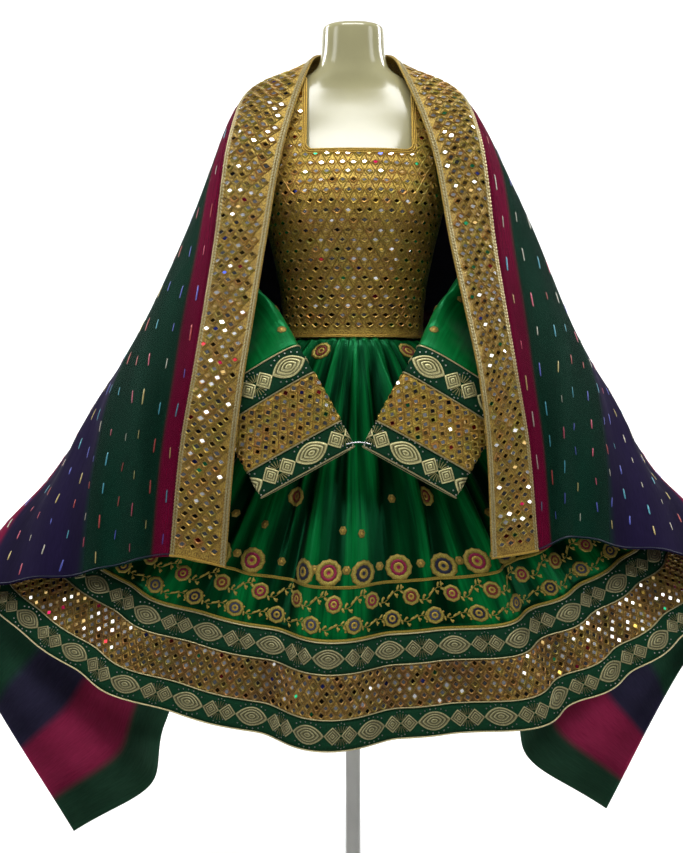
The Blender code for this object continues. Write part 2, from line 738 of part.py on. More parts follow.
def shawl(along, width):
    """A point of the shawl, with the folds that fall down its back and over its sides."""
    place = shawl_smooth(along, width)
    away = abs(along) / SHAWL_HALF_LENGTH
    back = ease((width - 0.42) / 0.58) * ease(away / 0.15) * (1 - ease((away - 0.80) / 0.20))
    wave = math.sin(2 * math.pi * SHAWL_WAVES * away - 0.6 + 0.8 * (1 - width))
    out = facing(shawl_smooth, along, width, 0.004, 0.004)
    sheer = ease((width - 0.11) / 0.10) * (1 - ease((width - 0.40) / 0.20))
    front = ease((away - 0.45) / 0.3)
    ripple = 0.0045 * math.sin(width * 62.0 + away * 5.0) * sheer * front
    return place + out * (wave * back * SHAWL_WAVE_DEPTH + ripple)


def make_shawl(sheer, mirror_work):
    alongs = spread(-SHAWL_HALF_LENGTH, SHAWL_HALF_LENGTH, SHAWL_CELLS_LONG)
    cloth_widths = [SHAWL_BORDER + SEAM_GAP, 0.15, 0.21, 0.28, 0.36, 0.44, 0.52, 0.60,
                    0.70, 0.80, 0.90, SHAWL_WIDTH]
    border_widths = [0.0, 0.048, SHAWL_BORDER]
    for name, widths, thick, finish in (
        ("shawl_cloth", cloth_widths, SHEER_WALL, sheer),
        ("shawl_border", border_widths, BORDER_WALL, mirror_work),
    ):
        rows = [[(along, width) for along in alongs] for width in widths]
        wall(name, shawl, rows, thick, finish, steps=SHAWL_STEPS)


def main():
    clear_scene()
    satin = material("green_satin", (0.0, 0.19, 0.035), 0.32)
    velvet = material("bottle_green_velvet", (0.0, 0.055, 0.022), 0.8)
    mirror_work = material("gold_mirror_work", (0.50, 0.30, 0.06), 0.4, 0.7)
    braid = material("gold_braid", (0.62, 0.40, 0.10), 0.4, 0.6)
    sheer = material("striped_voile", (0.02, 0.14, 0.07), 0.6)
    plastic = material("cream_plastic", (0.75, 0.72, 0.55), 0.18)
    enamel = material("cream_enamel", (0.80, 0.79, 0.74), 0.35)
    steel = material("steel_wire", (0.75, 0.75, 0.76), 0.25, 1.0)
    make_form(plastic)
    make_stand(enamel)
    make_bodice(mirror_work, braid)
    make_waist_piping(braid)
    make_skirt(satin, velvet, mirror_work)
    make_sleeves(satin, velvet, mirror_work)
    make_cuff_pin(steel)
    make_shawl(sheer, mirror_work)


main()
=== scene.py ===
# %% [markdown]
# An embroidered bridal dress with its shawl, on a dress form
#
# The dress has a bodice and cuffs of gold cord work with hundreds of small mirrors, a wide fan of
# green satin for the skirt, and a hem of three bands. A sheer striped shawl with a gold border
# lies over the shoulders. The solids of the dress are already cut and placed. This lesson gives
# each of them its cloth, and then sews on what makes it rich: mirrors, cords, braid, flowers,
# velvet ribbon, beads and sequins.
#
# Everything is in metres, +Z is up, and the front of the dress faces -Y.

# %% The frame and the camera
import math

import bpy
import numpy as np
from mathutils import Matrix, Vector


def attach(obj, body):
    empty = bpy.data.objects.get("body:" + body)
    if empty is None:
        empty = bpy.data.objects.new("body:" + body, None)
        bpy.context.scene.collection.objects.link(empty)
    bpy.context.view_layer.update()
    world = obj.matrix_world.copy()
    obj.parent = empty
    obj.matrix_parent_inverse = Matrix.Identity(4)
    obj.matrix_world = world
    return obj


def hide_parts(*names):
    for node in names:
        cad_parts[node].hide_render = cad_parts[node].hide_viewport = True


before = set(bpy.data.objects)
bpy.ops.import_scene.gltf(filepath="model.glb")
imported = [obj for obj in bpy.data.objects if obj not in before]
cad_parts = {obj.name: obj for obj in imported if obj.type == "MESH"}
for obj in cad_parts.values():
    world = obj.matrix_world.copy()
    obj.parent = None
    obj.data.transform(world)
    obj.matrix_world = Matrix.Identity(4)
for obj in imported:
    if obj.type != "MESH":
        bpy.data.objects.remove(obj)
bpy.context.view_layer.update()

CAMERA_PLACE = (-0.0195, -2.6, 0.82)
LENS_HEIGHT, LENS_LONG = 24.0, 43.16


def placed(name, data):
    """A new object in the scene."""
    item = bpy.data.objects.new(name, data)
    bpy.context.scene.collection.objects.link(item)
    return item


camera_data = bpy.data.cameras.new("camera")
camera_data.sensor_fit = "VERTICAL"
camera_data.sensor_height = LENS_HEIGHT
camera_data.lens = LENS_LONG
camera = placed("camera", camera_data)
camera.location = CAMERA_PLACE
camera.rotation_euler = (math.pi / 2, 0.0, 0.0)
bpy.context.scene.camera = camera

# %% [markdown]
# Smooth curves through a few rows of numbers
#
# A pattern cutter measures a garment at a few levels and draws smooth lines between them. A cubic
# Hermite curve does the same: it passes through each row of a short table, in the direction of its
# neighbours. All of it works on whole arrays of points, because the embroidery asks for hundreds
# of thousands.

# %% Curves and normals
def ease(x):
    """0 up to x = 0, 1 from x = 1, and smooth between."""
    x = np.clip(x, 0.0, 1.0)
    return x * x * (3.0 - 2.0 * x)


def slopes_of(places, values):
    """The slope of the curve at each of its rows; rows run along the first axis of values."""
    count = len(places)
    after = np.minimum(np.arange(count) + 1, count - 1)
    before = np.maximum(np.arange(count) - 1, 0)
    run = (places[after] - places[before]).reshape((-1,) + (1,) * (values.ndim - 1))
    return (values[after] - values[before]) / run


def hermite(first, first_slope, last, last_slope, t, step):
    """A point at the share t of a step between two rows, each left along its own slope."""
    return (first * (2 * t**3 - 3 * t**2 + 1) + first_slope * (step * (t**3 - 2 * t**2 + t))
            + last * (3 * t**2 - 2 * t**3) + last_slope * (step * (t**3 - t**2)))


def smooth_through(places, values, place):
    """A smooth curve through the rows of values, at an array of places."""
    places = np.asarray(places, dtype=float)
    values = np.asarray(values, dtype=float)
    place = np.clip(place, places[0], places[-1])
    k = np.clip(np.searchsorted(places, place, side="left") - 1, 0, len(places) - 2)
    slopes = slopes_of(places, values)
    step = places[k + 1] - places[k]
    t = (place - places[k]) / step
    if values.ndim > 1:
        shape = t.shape + (1,) * (values.ndim - 1)
        t, step = t.reshape(shape), step.reshape(shape)
    return hermite(values[k], slopes[k], values[k + 1], slopes[k + 1], t, step)


def arrays(a, b):
    """Two arrays of numbers, spread to one shape."""
    return np.broadcast_arrays(np.asarray(a, float), np.asarray(b, float))


def turns_round(count):
    """So many even turns round a circle, from 0."""
    return 2 * math.pi * np.arange(count) / count


def unit(vectors):
    """The same directions, one long."""
    length = np.linalg.norm(vectors, axis=-1, keepdims=True)
    return vectors / np.maximum(length, 1e-12)


def facing(surface, a, b, step_a, step_b):
    """Unit normals of surface(a, b)."""
    along_a = surface(a + step_a, b) - surface(a - step_a, b)
    along_b = surface(a, b + step_b) - surface(a, b - step_b)
    return unit(np.cross(along_a, along_b))


# %% [markdown]
# The form under the dress
#
# A dress form is a soft superellipse at every level: a little squarer than an ellipse, fuller in
# front than behind. Nineteen measured levels are enough. The bodice is cut to the same skin, so
# this one function shapes both.

# %% The form's skin
# Each level: height, half width, depth in front and depth behind
FORM_LEVELS = np.array((
    (0.69, 0.118, 0.076, 0.072), (0.7, 0.142, 0.094, 0.088), (0.74, 0.152, 0.102, 0.098),
    (0.8, 0.15, 0.102, 0.102), (0.88, 0.134, 0.094, 0.096), (0.97, 0.113, 0.086, 0.082),
    (1.05, 0.117, 0.093, 0.083), (1.12, 0.131, 0.11, 0.087), (1.19, 0.148, 0.126, 0.09),
    (1.25, 0.163, 0.108, 0.092), (1.3, 0.177, 0.086, 0.088), (1.345, 0.179, 0.069, 0.08),
    (1.372, 0.155, 0.06, 0.072), (1.398, 0.108, 0.053, 0.064), (1.418, 0.068, 0.049, 0.058),
    (1.44, 0.056, 0.048, 0.053), (1.485, 0.0525, 0.048, 0.051), (1.493, 0.0505, 0.046, 0.049),
    (1.497, 0.045, 0.041, 0.044),
))
BODY_SQUARENESS = 2.3
BODY_STEPS = (0.01, 0.002)


def level(height):
    """Half width, front depth and back depth of the form at each height."""
    return smooth_through(FORM_LEVELS[:, 0], FORM_LEVELS[:, 1:], height)


def body(turn, height):
    """Points of the form's skin. turn is 0 in front and a quarter turn on the +X side."""
    turn, height = np.broadcast_arrays(turn, height)
    half, front, back = np.moveaxis(level(height), -1, 0)
    across, ahead = np.sin(turn), np.cos(turn)
    power = 2.0 / BODY_SQUARENESS
    x = half * np.sign(across) * np.abs(across) ** power
    y = np.where(ahead > 0, -front, back) * np.abs(ahead) ** power
    return np.stack([x, y, height], axis=-1)


def turn_at(x, height, behind=False):
    """The turn at which the form's skin is x to the side at a height."""
    half = level(height)[..., 0]
    turn = np.arcsin(np.minimum(1.0, (np.abs(x) / half) ** (BODY_SQUARENESS / 2.0)))
    return math.pi - turn if behind else turn


# %% [markdown]
# The skirt as one surface
#
# The skirt is a wide fan of satin gathered into the waist, written as skirt(q, down): q is the
# share of the way round and down is metres of cloth below the waist. Folds from a table stand out
# from the fan and grow towards the hem.

# %% The skirt's folds
SEAM_GAP = 0.0003
WAIST_HEIGHT = 0.966
WAIST_HALF, WAIST_FRONT, WAIST_BACK = 0.119, 0.094, 0.089
HEM_HALF_LEFT, HEM_HALF_RIGHT, HEM_FRONT, HEM_BACK = 0.64, 0.615, 0.248, 0.235
SKIRT_LENGTH, SKIRT_SIDE_LONGER, SKIRT_BULGE, FOLD_DROP = 0.645, 0.005, 0.016, 0.2
GATHERS, GATHER_DEPTH = 32, 0.0034
LOWER_RIBBON, MIRROR_BAND, UPPER_RIBBON = 0.047, 0.067, 0.047
TRIMS = LOWER_RIBBON + MIRROR_BAND + UPPER_RIBBON

# Each fold: crest from the front and half width in degrees, depth at the hem, and where it begins
SKIRT_FOLDS = (
    (-64, 10, 0.005, 0.35), (-50, 9, 0.004, 0.28), (-35, 9, 0.016, 0.22),
    (-20, 8, 0.004, 0.2), (-3.5, 10.5, 0.045, 0.1), (12, 8, 0.005, 0.2),
    (24, 11, 0.041, 0.1), (38, 9, 0.018, 0.2), (52, 9, 0.009, 0.3),
    (67, 10, 0.011, 0.38),
    (112, 7, 0.012, 0.4), (126, 6, 0.018, 0.35), (140, 6, 0.022, 0.25), (152, 5, 0.018, 0.3),
    (163, 6, 0.026, 0.15), (176, 6, 0.022, 0.22), (-171, 5, 0.016, 0.3), (-160, 6, 0.026, 0.15),
    (-148, 5, 0.02, 0.25), (-136, 6, 0.018, 0.3), (-124, 6, 0.014, 0.35),
    (-111, 7, 0.01, 0.4),
)


def hem_point(turn):
    """The hem between folds, seen from above."""
    half = np.where(np.sin(turn) > 0, HEM_HALF_RIGHT, HEM_HALF_LEFT)
    depth = np.where(np.cos(turn) > 0, HEM_FRONT, HEM_BACK)
    return np.stack([half * np.sin(turn), -depth * np.cos(turn), np.zeros_like(half)], axis=-1)


def run_along(line):
    """Metres along a line of points, from its first one."""
    return np.concatenate([[0.0], np.cumsum(np.linalg.norm(np.diff(line, axis=0), axis=-1))])


HEM_STOPS = 720
FINE_TURNS = 2 * math.pi * np.arange(2 * HEM_STOPS + 1) / (2 * HEM_STOPS)
HEM_RUN = run_along(hem_point(FINE_TURNS))
HEM_TURNS = np.interp(HEM_RUN[-1] * np.arange(HEM_STOPS + 1) / HEM_STOPS, HEM_RUN, FINE_TURNS)
print("the hem measures", round(HEM_RUN[-1], 2), "m round, without its folds")


def turn_of(q):
    """Turn at the share q of the way round the hem."""
    return np.interp((q % 1.0) * HEM_STOPS, np.arange(HEM_STOPS + 1), HEM_TURNS)


def skirt_length(q):
    """Metres of cloth from the waist to the hem, a little more at the sides."""
    return SKIRT_LENGTH + SKIRT_SIDE_LONGER * np.sin(turn_of(q)) ** 2


# %% [markdown]
# Folds, gathers and creases
#
# Gathered satin falls in three sizes of wave: broad folds, the gathers that the waist seam presses
# in, and narrow creases between them. Cloth simulation would let the folds fall where they like. A
# sum of cosines puts them where this dress has them.

# %% How far the cloth stands out
FOLD_GROWS_LATE, FOLD_HANGS_ON = 0.35, 0.1
GATHER_FADE, PAIR_DEPTH = 0.17, 0.009
GATHER_CREASE, LONG_CREASE, MID_CREASE = 0.0042, 0.0035, 0.0048
WAVES_GATHER, WAVES_LONG, WAVES_MID = 5, 41, 23


def fold_height(turn, share):
    """The broad folds, from their table, at a share of the way down."""
    degrees = np.degrees(turn)
    total = np.zeros(np.broadcast(turn, share).shape)
    for crest, half, depth, start in SKIRT_FOLDS:
        away = (degrees - crest + 180.0) % 360.0 - 180.0
        hump = np.where(np.abs(away) < half, 0.5 * (1 + np.cos(math.pi * away / half)), 0.0)
        grown = (ease((share - start) / (1.0 - start)) * (1 - FOLD_GROWS_LATE * start)
                 + FOLD_HANGS_ON * share)
        total = total + depth * hump * grown
    return total


def gather_height(q, down):
    """The gathers under the waist, and the pairs that they run into lower down."""
    fine = 0.5 + 0.5 * np.cos(2 * math.pi * GATHERS * q)
    uneven = 0.75 + 0.25 * np.sin(2 * math.pi * WAVES_GATHER * q + 1.0)
    first = (fine * GATHER_DEPTH * (1.0 + 1.2 * ease(down / 0.04))
             * (1 - ease(down / GATHER_FADE)))
    pairs = 0.5 + 0.5 * np.cos(math.pi * GATHERS * q + 0.8 * np.sin(6 * math.pi * q))
    second = pairs * PAIR_DEPTH * ease(down / 0.1) * (1 - ease((down - 0.12) / 0.33))
    return (first + second) * uneven


def crease_height(q, down):
    """Narrow creases that run down from the gathers and thin out before the border."""
    wander = 0.5 * np.sin(2 * math.pi * 7 * q + 9.0 * down) + 0.3 * np.sin(38 * math.pi * q)
    narrow = np.abs(np.sin(math.pi * GATHERS * (q + 0.004 * wander))) ** 1.6
    gathers = GATHER_CREASE * narrow * ease(down / 0.015) * (1 - ease((down - 0.05) / 0.22))
    long = np.sin(2 * math.pi * WAVES_LONG * q + 2.2 * wander + 4.0 * down)
    mid = np.sin(2 * math.pi * WAVES_MID * q - 1.3 * wander)
    run = ease(down / 0.1) * (1 - ease((down - 0.33) / 0.16))
    return gathers + (LONG_CREASE * long + MID_CREASE * mid) * run


# %% The skirt's surface, and the painted shade in its troughs
SHADE_REACH, SHADE_STOPS, SHADE_LEVEL, SHADE_RISE = 0.016, 9, 0.56, 0.0062


def skirt(q, down):
    """Points of the skirt's outer face."""
    q, down = arrays(q, down)
    turn = turn_of(q)
    across, ahead = np.sin(turn), np.cos(turn)
    front = np.where(ahead > 0, WAIST_FRONT, WAIST_BACK)
    waist = np.stack([WAIST_HALF * across, -front * ahead, np.zeros_like(front)], axis=-1)
    out = hem_point(turn) - waist
    reach = np.linalg.norm(out, axis=-1)
    length = skirt_length(q)
    share = down / length
    slope = reach / length
    bulge = SKIRT_BULGE * np.sin(math.pi * np.clip(share, 0.0, 1.0)) ** 1.2
    fall = np.sqrt(np.maximum(1e-9, 1 - slope * slope)) * down
    fold = fold_height(turn, share)
    stands = fold + gather_height(q, down) + crease_height(q, down) + bulge
    place = waist + out / reach[..., None] * (slope * down + stands)[..., None]
    place[..., 2] = WAIST_HEIGHT - 2 * SEAM_GAP - fall - fold * FOLD_DROP
    return place


def trough_shade(q, down):
    """Painted shade, 0 in the troughs of the folds and 1 on their crests, against the cloth to both
    sides.
    """
    def stands(place):
        return (fold_height(turn_of(place), down / SKIRT_LENGTH) + gather_height(place, down)
                + crease_height(place, down))

    here, around = stands(q), 0.0
    for away in np.linspace(-SHADE_REACH, SHADE_REACH, SHADE_STOPS):
        around = around + stands(q + away) / SHADE_STOPS
    return np.clip(SHADE_LEVEL + (here - around) / SHADE_RISE, 0.0, 1.0)


# %% [markdown]
# The sleeves
#
# Each sleeve is an empty tube that falls from the armhole, flattens below the elbow and comes
# forward, so that the two flat cuffs meet in front of the waist, where a small pin holds them.
# sleeve(turn, along) runs round the tube and along it. Its right twin is the left one turned
# over.

# %% The sleeves' sections
UNDERARM, SHOULDER_TIP, ARMHOLE_NARROWING = 1.185, 1.352, 0.034
BODICE_EASE, WALL, SLEEVE_STAND, CUFF_CENTRE = 0.005, 0.0018, 0.0029, 0.007
CUFF_RIBBON_UPPER, CUFF_MIRROR_BAND, CUFF_RIBBON_LOWER = 0.05, 0.084, 0.046
CUFF = CUFF_RIBBON_UPPER + CUFF_MIRROR_BAND + CUFF_RIBBON_LOWER

# Each section: centre, half width, half depth, and the direction of its front fold
SLEEVE_TABLE = np.array((
    (-0.168, -0.004, 1.268, 0.072, 0.08, 0.0, -1.0, 0.0),
    (-0.206, -0.004, 1.216, 0.074, 0.035, 0.0, -1.0, 0.0),
    (-0.208, -0.014, 1.155, 0.079, 0.024, 0.0, -1.0, 0.0),
    (-0.206, -0.04, 1.055, 0.082, 0.02, 0.18, -0.98, 0.0),
    (-0.194, -0.09, 0.982, 0.084, 0.018, 0.52, -0.84, 0.12),
    (-0.177, -0.148, 0.934, 0.084, 0.016, 0.78, -0.5, 0.32),
    (-0.161, -0.192, 0.896, 0.084, 0.014, 0.86, -0.14, 0.47),
    (-0.12, -0.212, 0.824, 0.083, 0.013, 0.88, -0.05, 0.47),
    (-0.078, -0.222, 0.748, 0.082, 0.012, 0.88, 0.0, 0.47),
))
SLEEVE_ALONG = run_along(SLEEVE_TABLE[:, :3])
SLEEVE_LENGTH = SLEEVE_ALONG[-1]
SLEEVE_SQUARENESS, SLEEVE_HEAD, SLEEVE_CREASE, CREASES_STOP = 0.8, 0.065, 0.0025, 0.22
print("each sleeve:", round(SLEEVE_LENGTH, 3), "m with its cuff")


def armhole_turn(height, behind):
    """Turn of the outer edge of a bodice panel: side seam, armhole, then shoulder seam."""
    share = (height - UNDERARM) / (SHOULDER_TIP - UNDERARM)
    inside = (share > 0) & (share < 1)
    inward = ARMHOLE_NARROWING * np.sin(math.pi * np.clip(share, 0, 1))
    narrowed = turn_at(level(height)[..., 0] - inward, height)
    narrowed = np.where(behind, math.pi - narrowed, narrowed)
    return np.where(inside, narrowed, math.pi / 2)


def armhole(turn):
    """The armhole edge on the left side: turn is 0 at the shoulder and then goes forward."""
    middle, reach = (UNDERARM + SHOULDER_TIP) / 2, (SHOULDER_TIP - UNDERARM) / 2
    height = middle + reach * np.cos(turn)
    side = -armhole_turn(height, np.sin(turn) < 0)
    out = facing(body, side, height, *BODY_STEPS)
    out = np.where(out[..., :1] > 0, -out, out)
    return body(side, height) + out * (BODICE_EASE + WALL + SLEEVE_STAND)


def cuff_shift(along):
    """How far both sleeves lie to the right of the middle, from the elbow down."""
    return CUFF_CENTRE * ease((along - 0.25) / 0.2)


def sleeve_wave(turn, along):
    """The soft creases round a sleeve, from -1 to 1."""
    return np.sin(along * 46.0 + 1.4 * np.sin(turn))


def sleeve(turn, along):
    """Points of the left sleeve's outer face, along metres from the armhole."""
    turn, along = arrays(turn, along)
    table = smooth_through(SLEEVE_ALONG, SLEEVE_TABLE, along)
    centre, wide, deep, front = table[..., :3], table[..., 3], table[..., 4], table[..., 5:]
    run = unit(smooth_through(SLEEVE_ALONG, SLEEVE_TABLE[:, :3], along + 0.004)
               - smooth_through(SLEEVE_ALONG, SLEEVE_TABLE[:, :3], along - 0.004))
    front = unit(front - run * np.sum(front * run, axis=-1, keepdims=True))
    outward = np.cross(run, front)
    across, up = np.sin(turn), np.cos(turn)
    to_front = wide * np.sign(across) * np.abs(across) ** SLEEVE_SQUARENESS
    to_face = deep * np.sign(up) * np.abs(up) ** SLEEVE_SQUARENESS
    creases = SLEEVE_CREASE * sleeve_wave(turn, along) * ease((along - 0.05) / 0.1)
    creases = creases * up * (1 - ease((along - SLEEVE_LENGTH + CREASES_STOP) / 0.05))
    tube = centre + front * to_front[..., None] + outward * (to_face + creases)[..., None]
    blend = ease(along / SLEEVE_HEAD)[..., None]
    tube = armhole(turn) * (1 - blend) + tube * blend
    tube[..., 0] += cuff_shift(along)
    return tube


def right_sleeve(turn, along):
    """The left sleeve turned over."""
    place = sleeve(turn, along)
    place[..., 0] = 2 * cuff_shift(np.broadcast_to(along, place.shape[:-1])) - place[..., 0]
    return place


# %% [markdown]
# The shawl
#
# The shawl is one straight piece of voile, two metres by one. shawl(along, width) gives a point
# of it: along runs from the middle of the back, left negative, and width runs from the gold neck
# edge to the outer edge, which hangs behind. The table holds where nine cross-lines of the left
# half lie. The right half is the same turned over, with small shifts, and soft folds fall where
# the cloth hangs free.

# %% The shawl's drape
SHAWL_HALF, SHAWL_WIDTH, SHAWL_BORDER = 1.01, 1.0, 0.095
SHAWL_WAVES, SHAWL_WAVE_DEPTH, RIPPLES, RIPPLE_DEPTH = 4.5, 0.024, 62.0, 0.0045
SHAWL_WIDTHS = np.array((0.0, 0.095, 0.19, 0.28, 0.46, 0.6, 0.72, 1.0))
SHAWL_ALONG = np.array((0.0, 0.105, 0.2, 0.35, 0.51, 0.63, 0.72, 0.845, 1.01))
SHAWL_SECTIONS = np.array((
    ((0.0, 0.082, 1.452), (0.0, 0.122, 1.368), (0.0, 0.14, 1.278), (0.0, 0.152, 1.188),
     (0.0, 0.166, 1.01), (0.0, 0.182, 0.87), (0.0, 0.21, 0.755), (0.0, 0.29, 0.49)),
    ((-0.0549, 0.0215, 1.455), (-0.104, 0.086, 1.391), (-0.106, 0.122, 1.3),
     (-0.106, 0.142, 1.2), (-0.106, 0.164, 1.014), (-0.106, 0.182, 0.872),
     (-0.102, 0.21, 0.752), (-0.088, 0.29, 0.484)),
    ((-0.076, -0.05, 1.412), (-0.17, 0.006, 1.393), (-0.2, 0.082, 1.315),
     (-0.196, 0.112, 1.195), (-0.197, 0.154, 1.012), (-0.196, 0.18, 0.87),
     (-0.188, 0.212, 0.745), (-0.15, 0.287, 0.475)),
    ((-0.114, -0.112, 1.275), (-0.205, -0.068, 1.296), (-0.266, 0.008, 1.19),
     (-0.297, 0.056, 1.088), (-0.331, 0.116, 0.95), (-0.334, 0.16, 0.82),
     (-0.318, 0.202, 0.7), (-0.238, 0.272, 0.436)),
    ((-0.14, -0.162, 1.112), (-0.226, -0.118, 1.115), (-0.31, -0.058, 1.05),
     (-0.371, 0.0, 0.965), (-0.436, 0.078, 0.858), (-0.452, 0.138, 0.735),
     (-0.436, 0.192, 0.61), (-0.3, 0.256, 0.396)),
    ((-0.158, -0.2, 0.985), (-0.24, -0.16, 1.0), (-0.336, -0.104, 0.94),
     (-0.404, -0.045, 0.872), (-0.492, 0.046, 0.775), (-0.52, 0.122, 0.66),
     (-0.505, 0.188, 0.54), (-0.33, 0.245, 0.345)),
    ((-0.172, -0.226, 0.888), (-0.253, -0.19, 0.905), (-0.344, -0.142, 0.855),
     (-0.416, -0.084, 0.795), (-0.526, 0.018, 0.72), (-0.574, 0.108, 0.616),
     (-0.565, 0.182, 0.49), (-0.342, 0.236, 0.27)),
    ((-0.186, -0.232, 0.765), (-0.272, -0.204, 0.785), (-0.354, -0.17, 0.745),
     (-0.426, -0.13, 0.705), (-0.576, -0.03, 0.656), (-0.655, 0.07, 0.584),
     (-0.635, 0.15, 0.44), (-0.372, 0.204, 0.168)),
    ((-0.198, -0.24, 0.602), (-0.286, -0.222, 0.618), (-0.362, -0.205, 0.604),
     (-0.432, -0.18, 0.586), (-0.612, -0.12, 0.56), (-0.678, 0.012, 0.52),
     (-0.658, 0.105, 0.38), (-0.496, 0.13, 0.1)),
))

# Shifts of the right half: metres along; the neck edge along X, Y and Z; the side along X and Z;
# the hanging edge along X and Z; the outermost cloth along X
RIGHT_SHIFTS = np.array((
    (0.0, 0.0, 0.0, 0.0, 0.0, 0.0, 0.0, 0.0, 0.0),
    (0.2, 0.004, 0.0, 0.0, 0.008, 0.0, 0.0, 0.0, 0.0),
    (0.35, 0.012, -0.004, 0.0, 0.027, 0.0, 0.0, 0.0, 0.0),
    (0.51, 0.013, -0.008, 0.0, 0.014, 0.0, -0.018, 0.018, -0.012),
    (0.72, 0.022, -0.012, 0.0, -0.008, 0.02, -0.045, 0.05, -0.035),
    (1.01, 0.012, -0.018, 0.015, -0.024, 0.046, -0.044, 0.04, -0.072),
))
BOTH_STATIONS = np.concatenate([-SHAWL_ALONG[:0:-1], SHAWL_ALONG])
BOTH_SECTIONS = np.concatenate([SHAWL_SECTIONS[:0:-1] * np.array((-1.0, 1.0, 1.0)),
                                SHAWL_SECTIONS])
print("the shawl is drawn from", len(SHAWL_ALONG), "cross-lines of", len(SHAWL_WIDTHS), "points")


def shawl_sections(along):
    """The places of SHAWL_WIDTHS for each distance from the middle of the back."""
    away = np.abs(along)
    points = smooth_through(BOTH_STATIONS, BOTH_SECTIONS, away)
    shifts = smooth_through(RIGHT_SHIFTS[:, 0], RIGHT_SHIFTS[:, 1:], away)[:, None, :]
    edge = 1 - ease(SHAWL_WIDTHS / 0.13)
    side = ease((SHAWL_WIDTHS - 0.06) / 0.16) * (1 - ease((SHAWL_WIDTHS - 0.4) / 0.25))
    hang = ease((SHAWL_WIDTHS - 0.6) / 0.4)
    wing = ease((SHAWL_WIDTHS - 0.5) / 0.22) * (1 - ease((SHAWL_WIDTHS - 0.74) / 0.26))
    right = np.stack([
        (-points[..., 0] + edge * shifts[..., 0] + side * shifts[..., 3]
         + hang * shifts[..., 5] + wing * shifts[..., 7]),
        points[..., 1] + edge * shifts[..., 1],
        points[..., 2] + edge * shifts[..., 2] + side * shifts[..., 4] + hang * shifts[..., 6],
    ], axis=-1)
    return np.where((along > 0)[:, None, None], right, points)


# %% The shawl's surface
def shawl_smooth(along, width):
    """The shawl before its small folds, for flat arrays."""
    sections = shawl_sections(along)
    width = np.clip(width, SHAWL_WIDTHS[0], SHAWL_WIDTHS[-1])
    k = np.clip(np.searchsorted(SHAWL_WIDTHS, width, side="left") - 1, 0, len(SHAWL_WIDTHS) - 2)
    slopes = np.moveaxis(slopes_of(SHAWL_WIDTHS, np.moveaxis(sections, 1, 0)), 0, 1)
    rows = np.arange(len(width))
    step = (SHAWL_WIDTHS[k + 1] - SHAWL_WIDTHS[k])[:, None]
    t = (width - SHAWL_WIDTHS[k])[:, None] / step
    return hermite(sections[rows, k], slopes[rows, k], sections[rows, k + 1],
                   slopes[rows, k + 1], t, step)


def shawl(along, width):
    """Points of the shawl, with the folds that fall down its back and over its sides."""
    along, width = arrays(along, width)
    shape = along.shape
    along, width = along.ravel(), width.ravel()
    away = np.abs(along) / SHAWL_HALF
    back = ease((width - 0.42) / 0.58) * ease(away / 0.15) * (1 - ease((away - 0.8) / 0.2))
    wave = np.sin(2 * math.pi * SHAWL_WAVES * away - 0.6 + 0.8 * (1 - width))
    out = facing(shawl_smooth, along, width, 0.004, 0.004)
    sheer = ease((width - 0.11) / 0.1) * (1 - ease((width - 0.4) / 0.2))
    front = ease((away - 0.45) / 0.3)
    ripple = RIPPLE_DEPTH * np.sin(width * RIPPLES + away * 5.0) * sheer * front
    moved = (wave * back * SHAWL_WAVE_DEPTH + ripple)[:, None]
    return (shawl_smooth(along, width) + out * moved).reshape(shape + (3,))


# %% [markdown]
# Meshes, cloth and embroidery
#
# cloth() turns a surface into a thin shell with its own coordinates in metres, so that weaves,
# stripes and creases have their real size. Blender could unwrap the sheets instead, but a surface
# written as a function knows its metres already. The shell's thickness is left to a Solidify
# modifier.

# %% Mesh helpers
COUNTS = {}


def mesh_piece(name, points, faces, made_of, replaced=(), attributes=(), smooth=50.0):
    """A finished piece on the dress and the solids that it stands for."""
    mesh = bpy.data.meshes.new(name)
    mesh.from_pydata(np.asarray(points).reshape(-1, 3).tolist(), [], faces)
    mesh.materials.append(made_of)
    mesh.shade_smooth()
    mesh.set_sharp_from_angle(angle=math.radians(smooth))
    for layer_name, values in attributes:
        kind = "FLOAT_COLOR" if values.shape[-1] == 4 else "FLOAT_VECTOR"
        layer = mesh.attributes.new(layer_name, kind, "POINT")
        layer.data.foreach_set("color" if kind == "FLOAT_COLOR" else "vector", values.ravel())
    item = placed(name, mesh)
    COUNTS[name] = sum(len(face) - 2 for face in faces)
    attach(item, "root")
    if replaced:
        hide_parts(*replaced)
    return item


def grid_faces(rows, columns, closed=False, flip=False):
    """Quads between rows of points."""
    i = np.arange(columns if closed else columns - 1)
    after = (i + 1) % columns
    start = np.arange(rows - 1)[:, None] * columns
    quads = np.stack([start + i, start + after, start + columns + after, start + columns + i],
                     axis=-1).reshape(-1, 4)
    return (quads[:, ::-1] if flip else quads).tolist()


def cloth(name, surface, columns, rows, sizes, made_of, replaced, thick, flip=False,
          keep=None, shade=None):
    """A thin shell on surface(column, row). sizes(columns, rows) gives its metres along and
    down, keep(column, row) is true for the cells that are cut out of the cloth, and
    shade(column, row) is painted shade for the finishes, 0 in troughs and 1 on crests."""
    a, b = np.meshgrid(columns, rows)
    points = surface(a, b)
    faces = grid_faces(len(rows), len(columns), flip=flip)
    if keep is not None:
        mid_a, mid_b = (a[:-1, :-1] + a[1:, 1:]) / 2, (b[:-1, :-1] + b[1:, 1:]) / 2
        faces = [face for face, good in zip(faces, keep(mid_a, mid_b).ravel()) if good]
    along, down = sizes(a, b)
    # The third coordinate carries painted shade, which the finishes multiply into the colour.
    painted_shade = shade(a, b) if shade else np.ones_like(along)
    metres = np.stack([along, down, painted_shade], axis=-1)
    item = mesh_piece(name, points, faces, made_of, replaced, [("cloth", metres)])
    shell = item.modifiers.new("shell", "SOLIDIFY")
    shell.thickness = thick
    shell.offset = -1.0
    COUNTS[name] *= 2
    return item


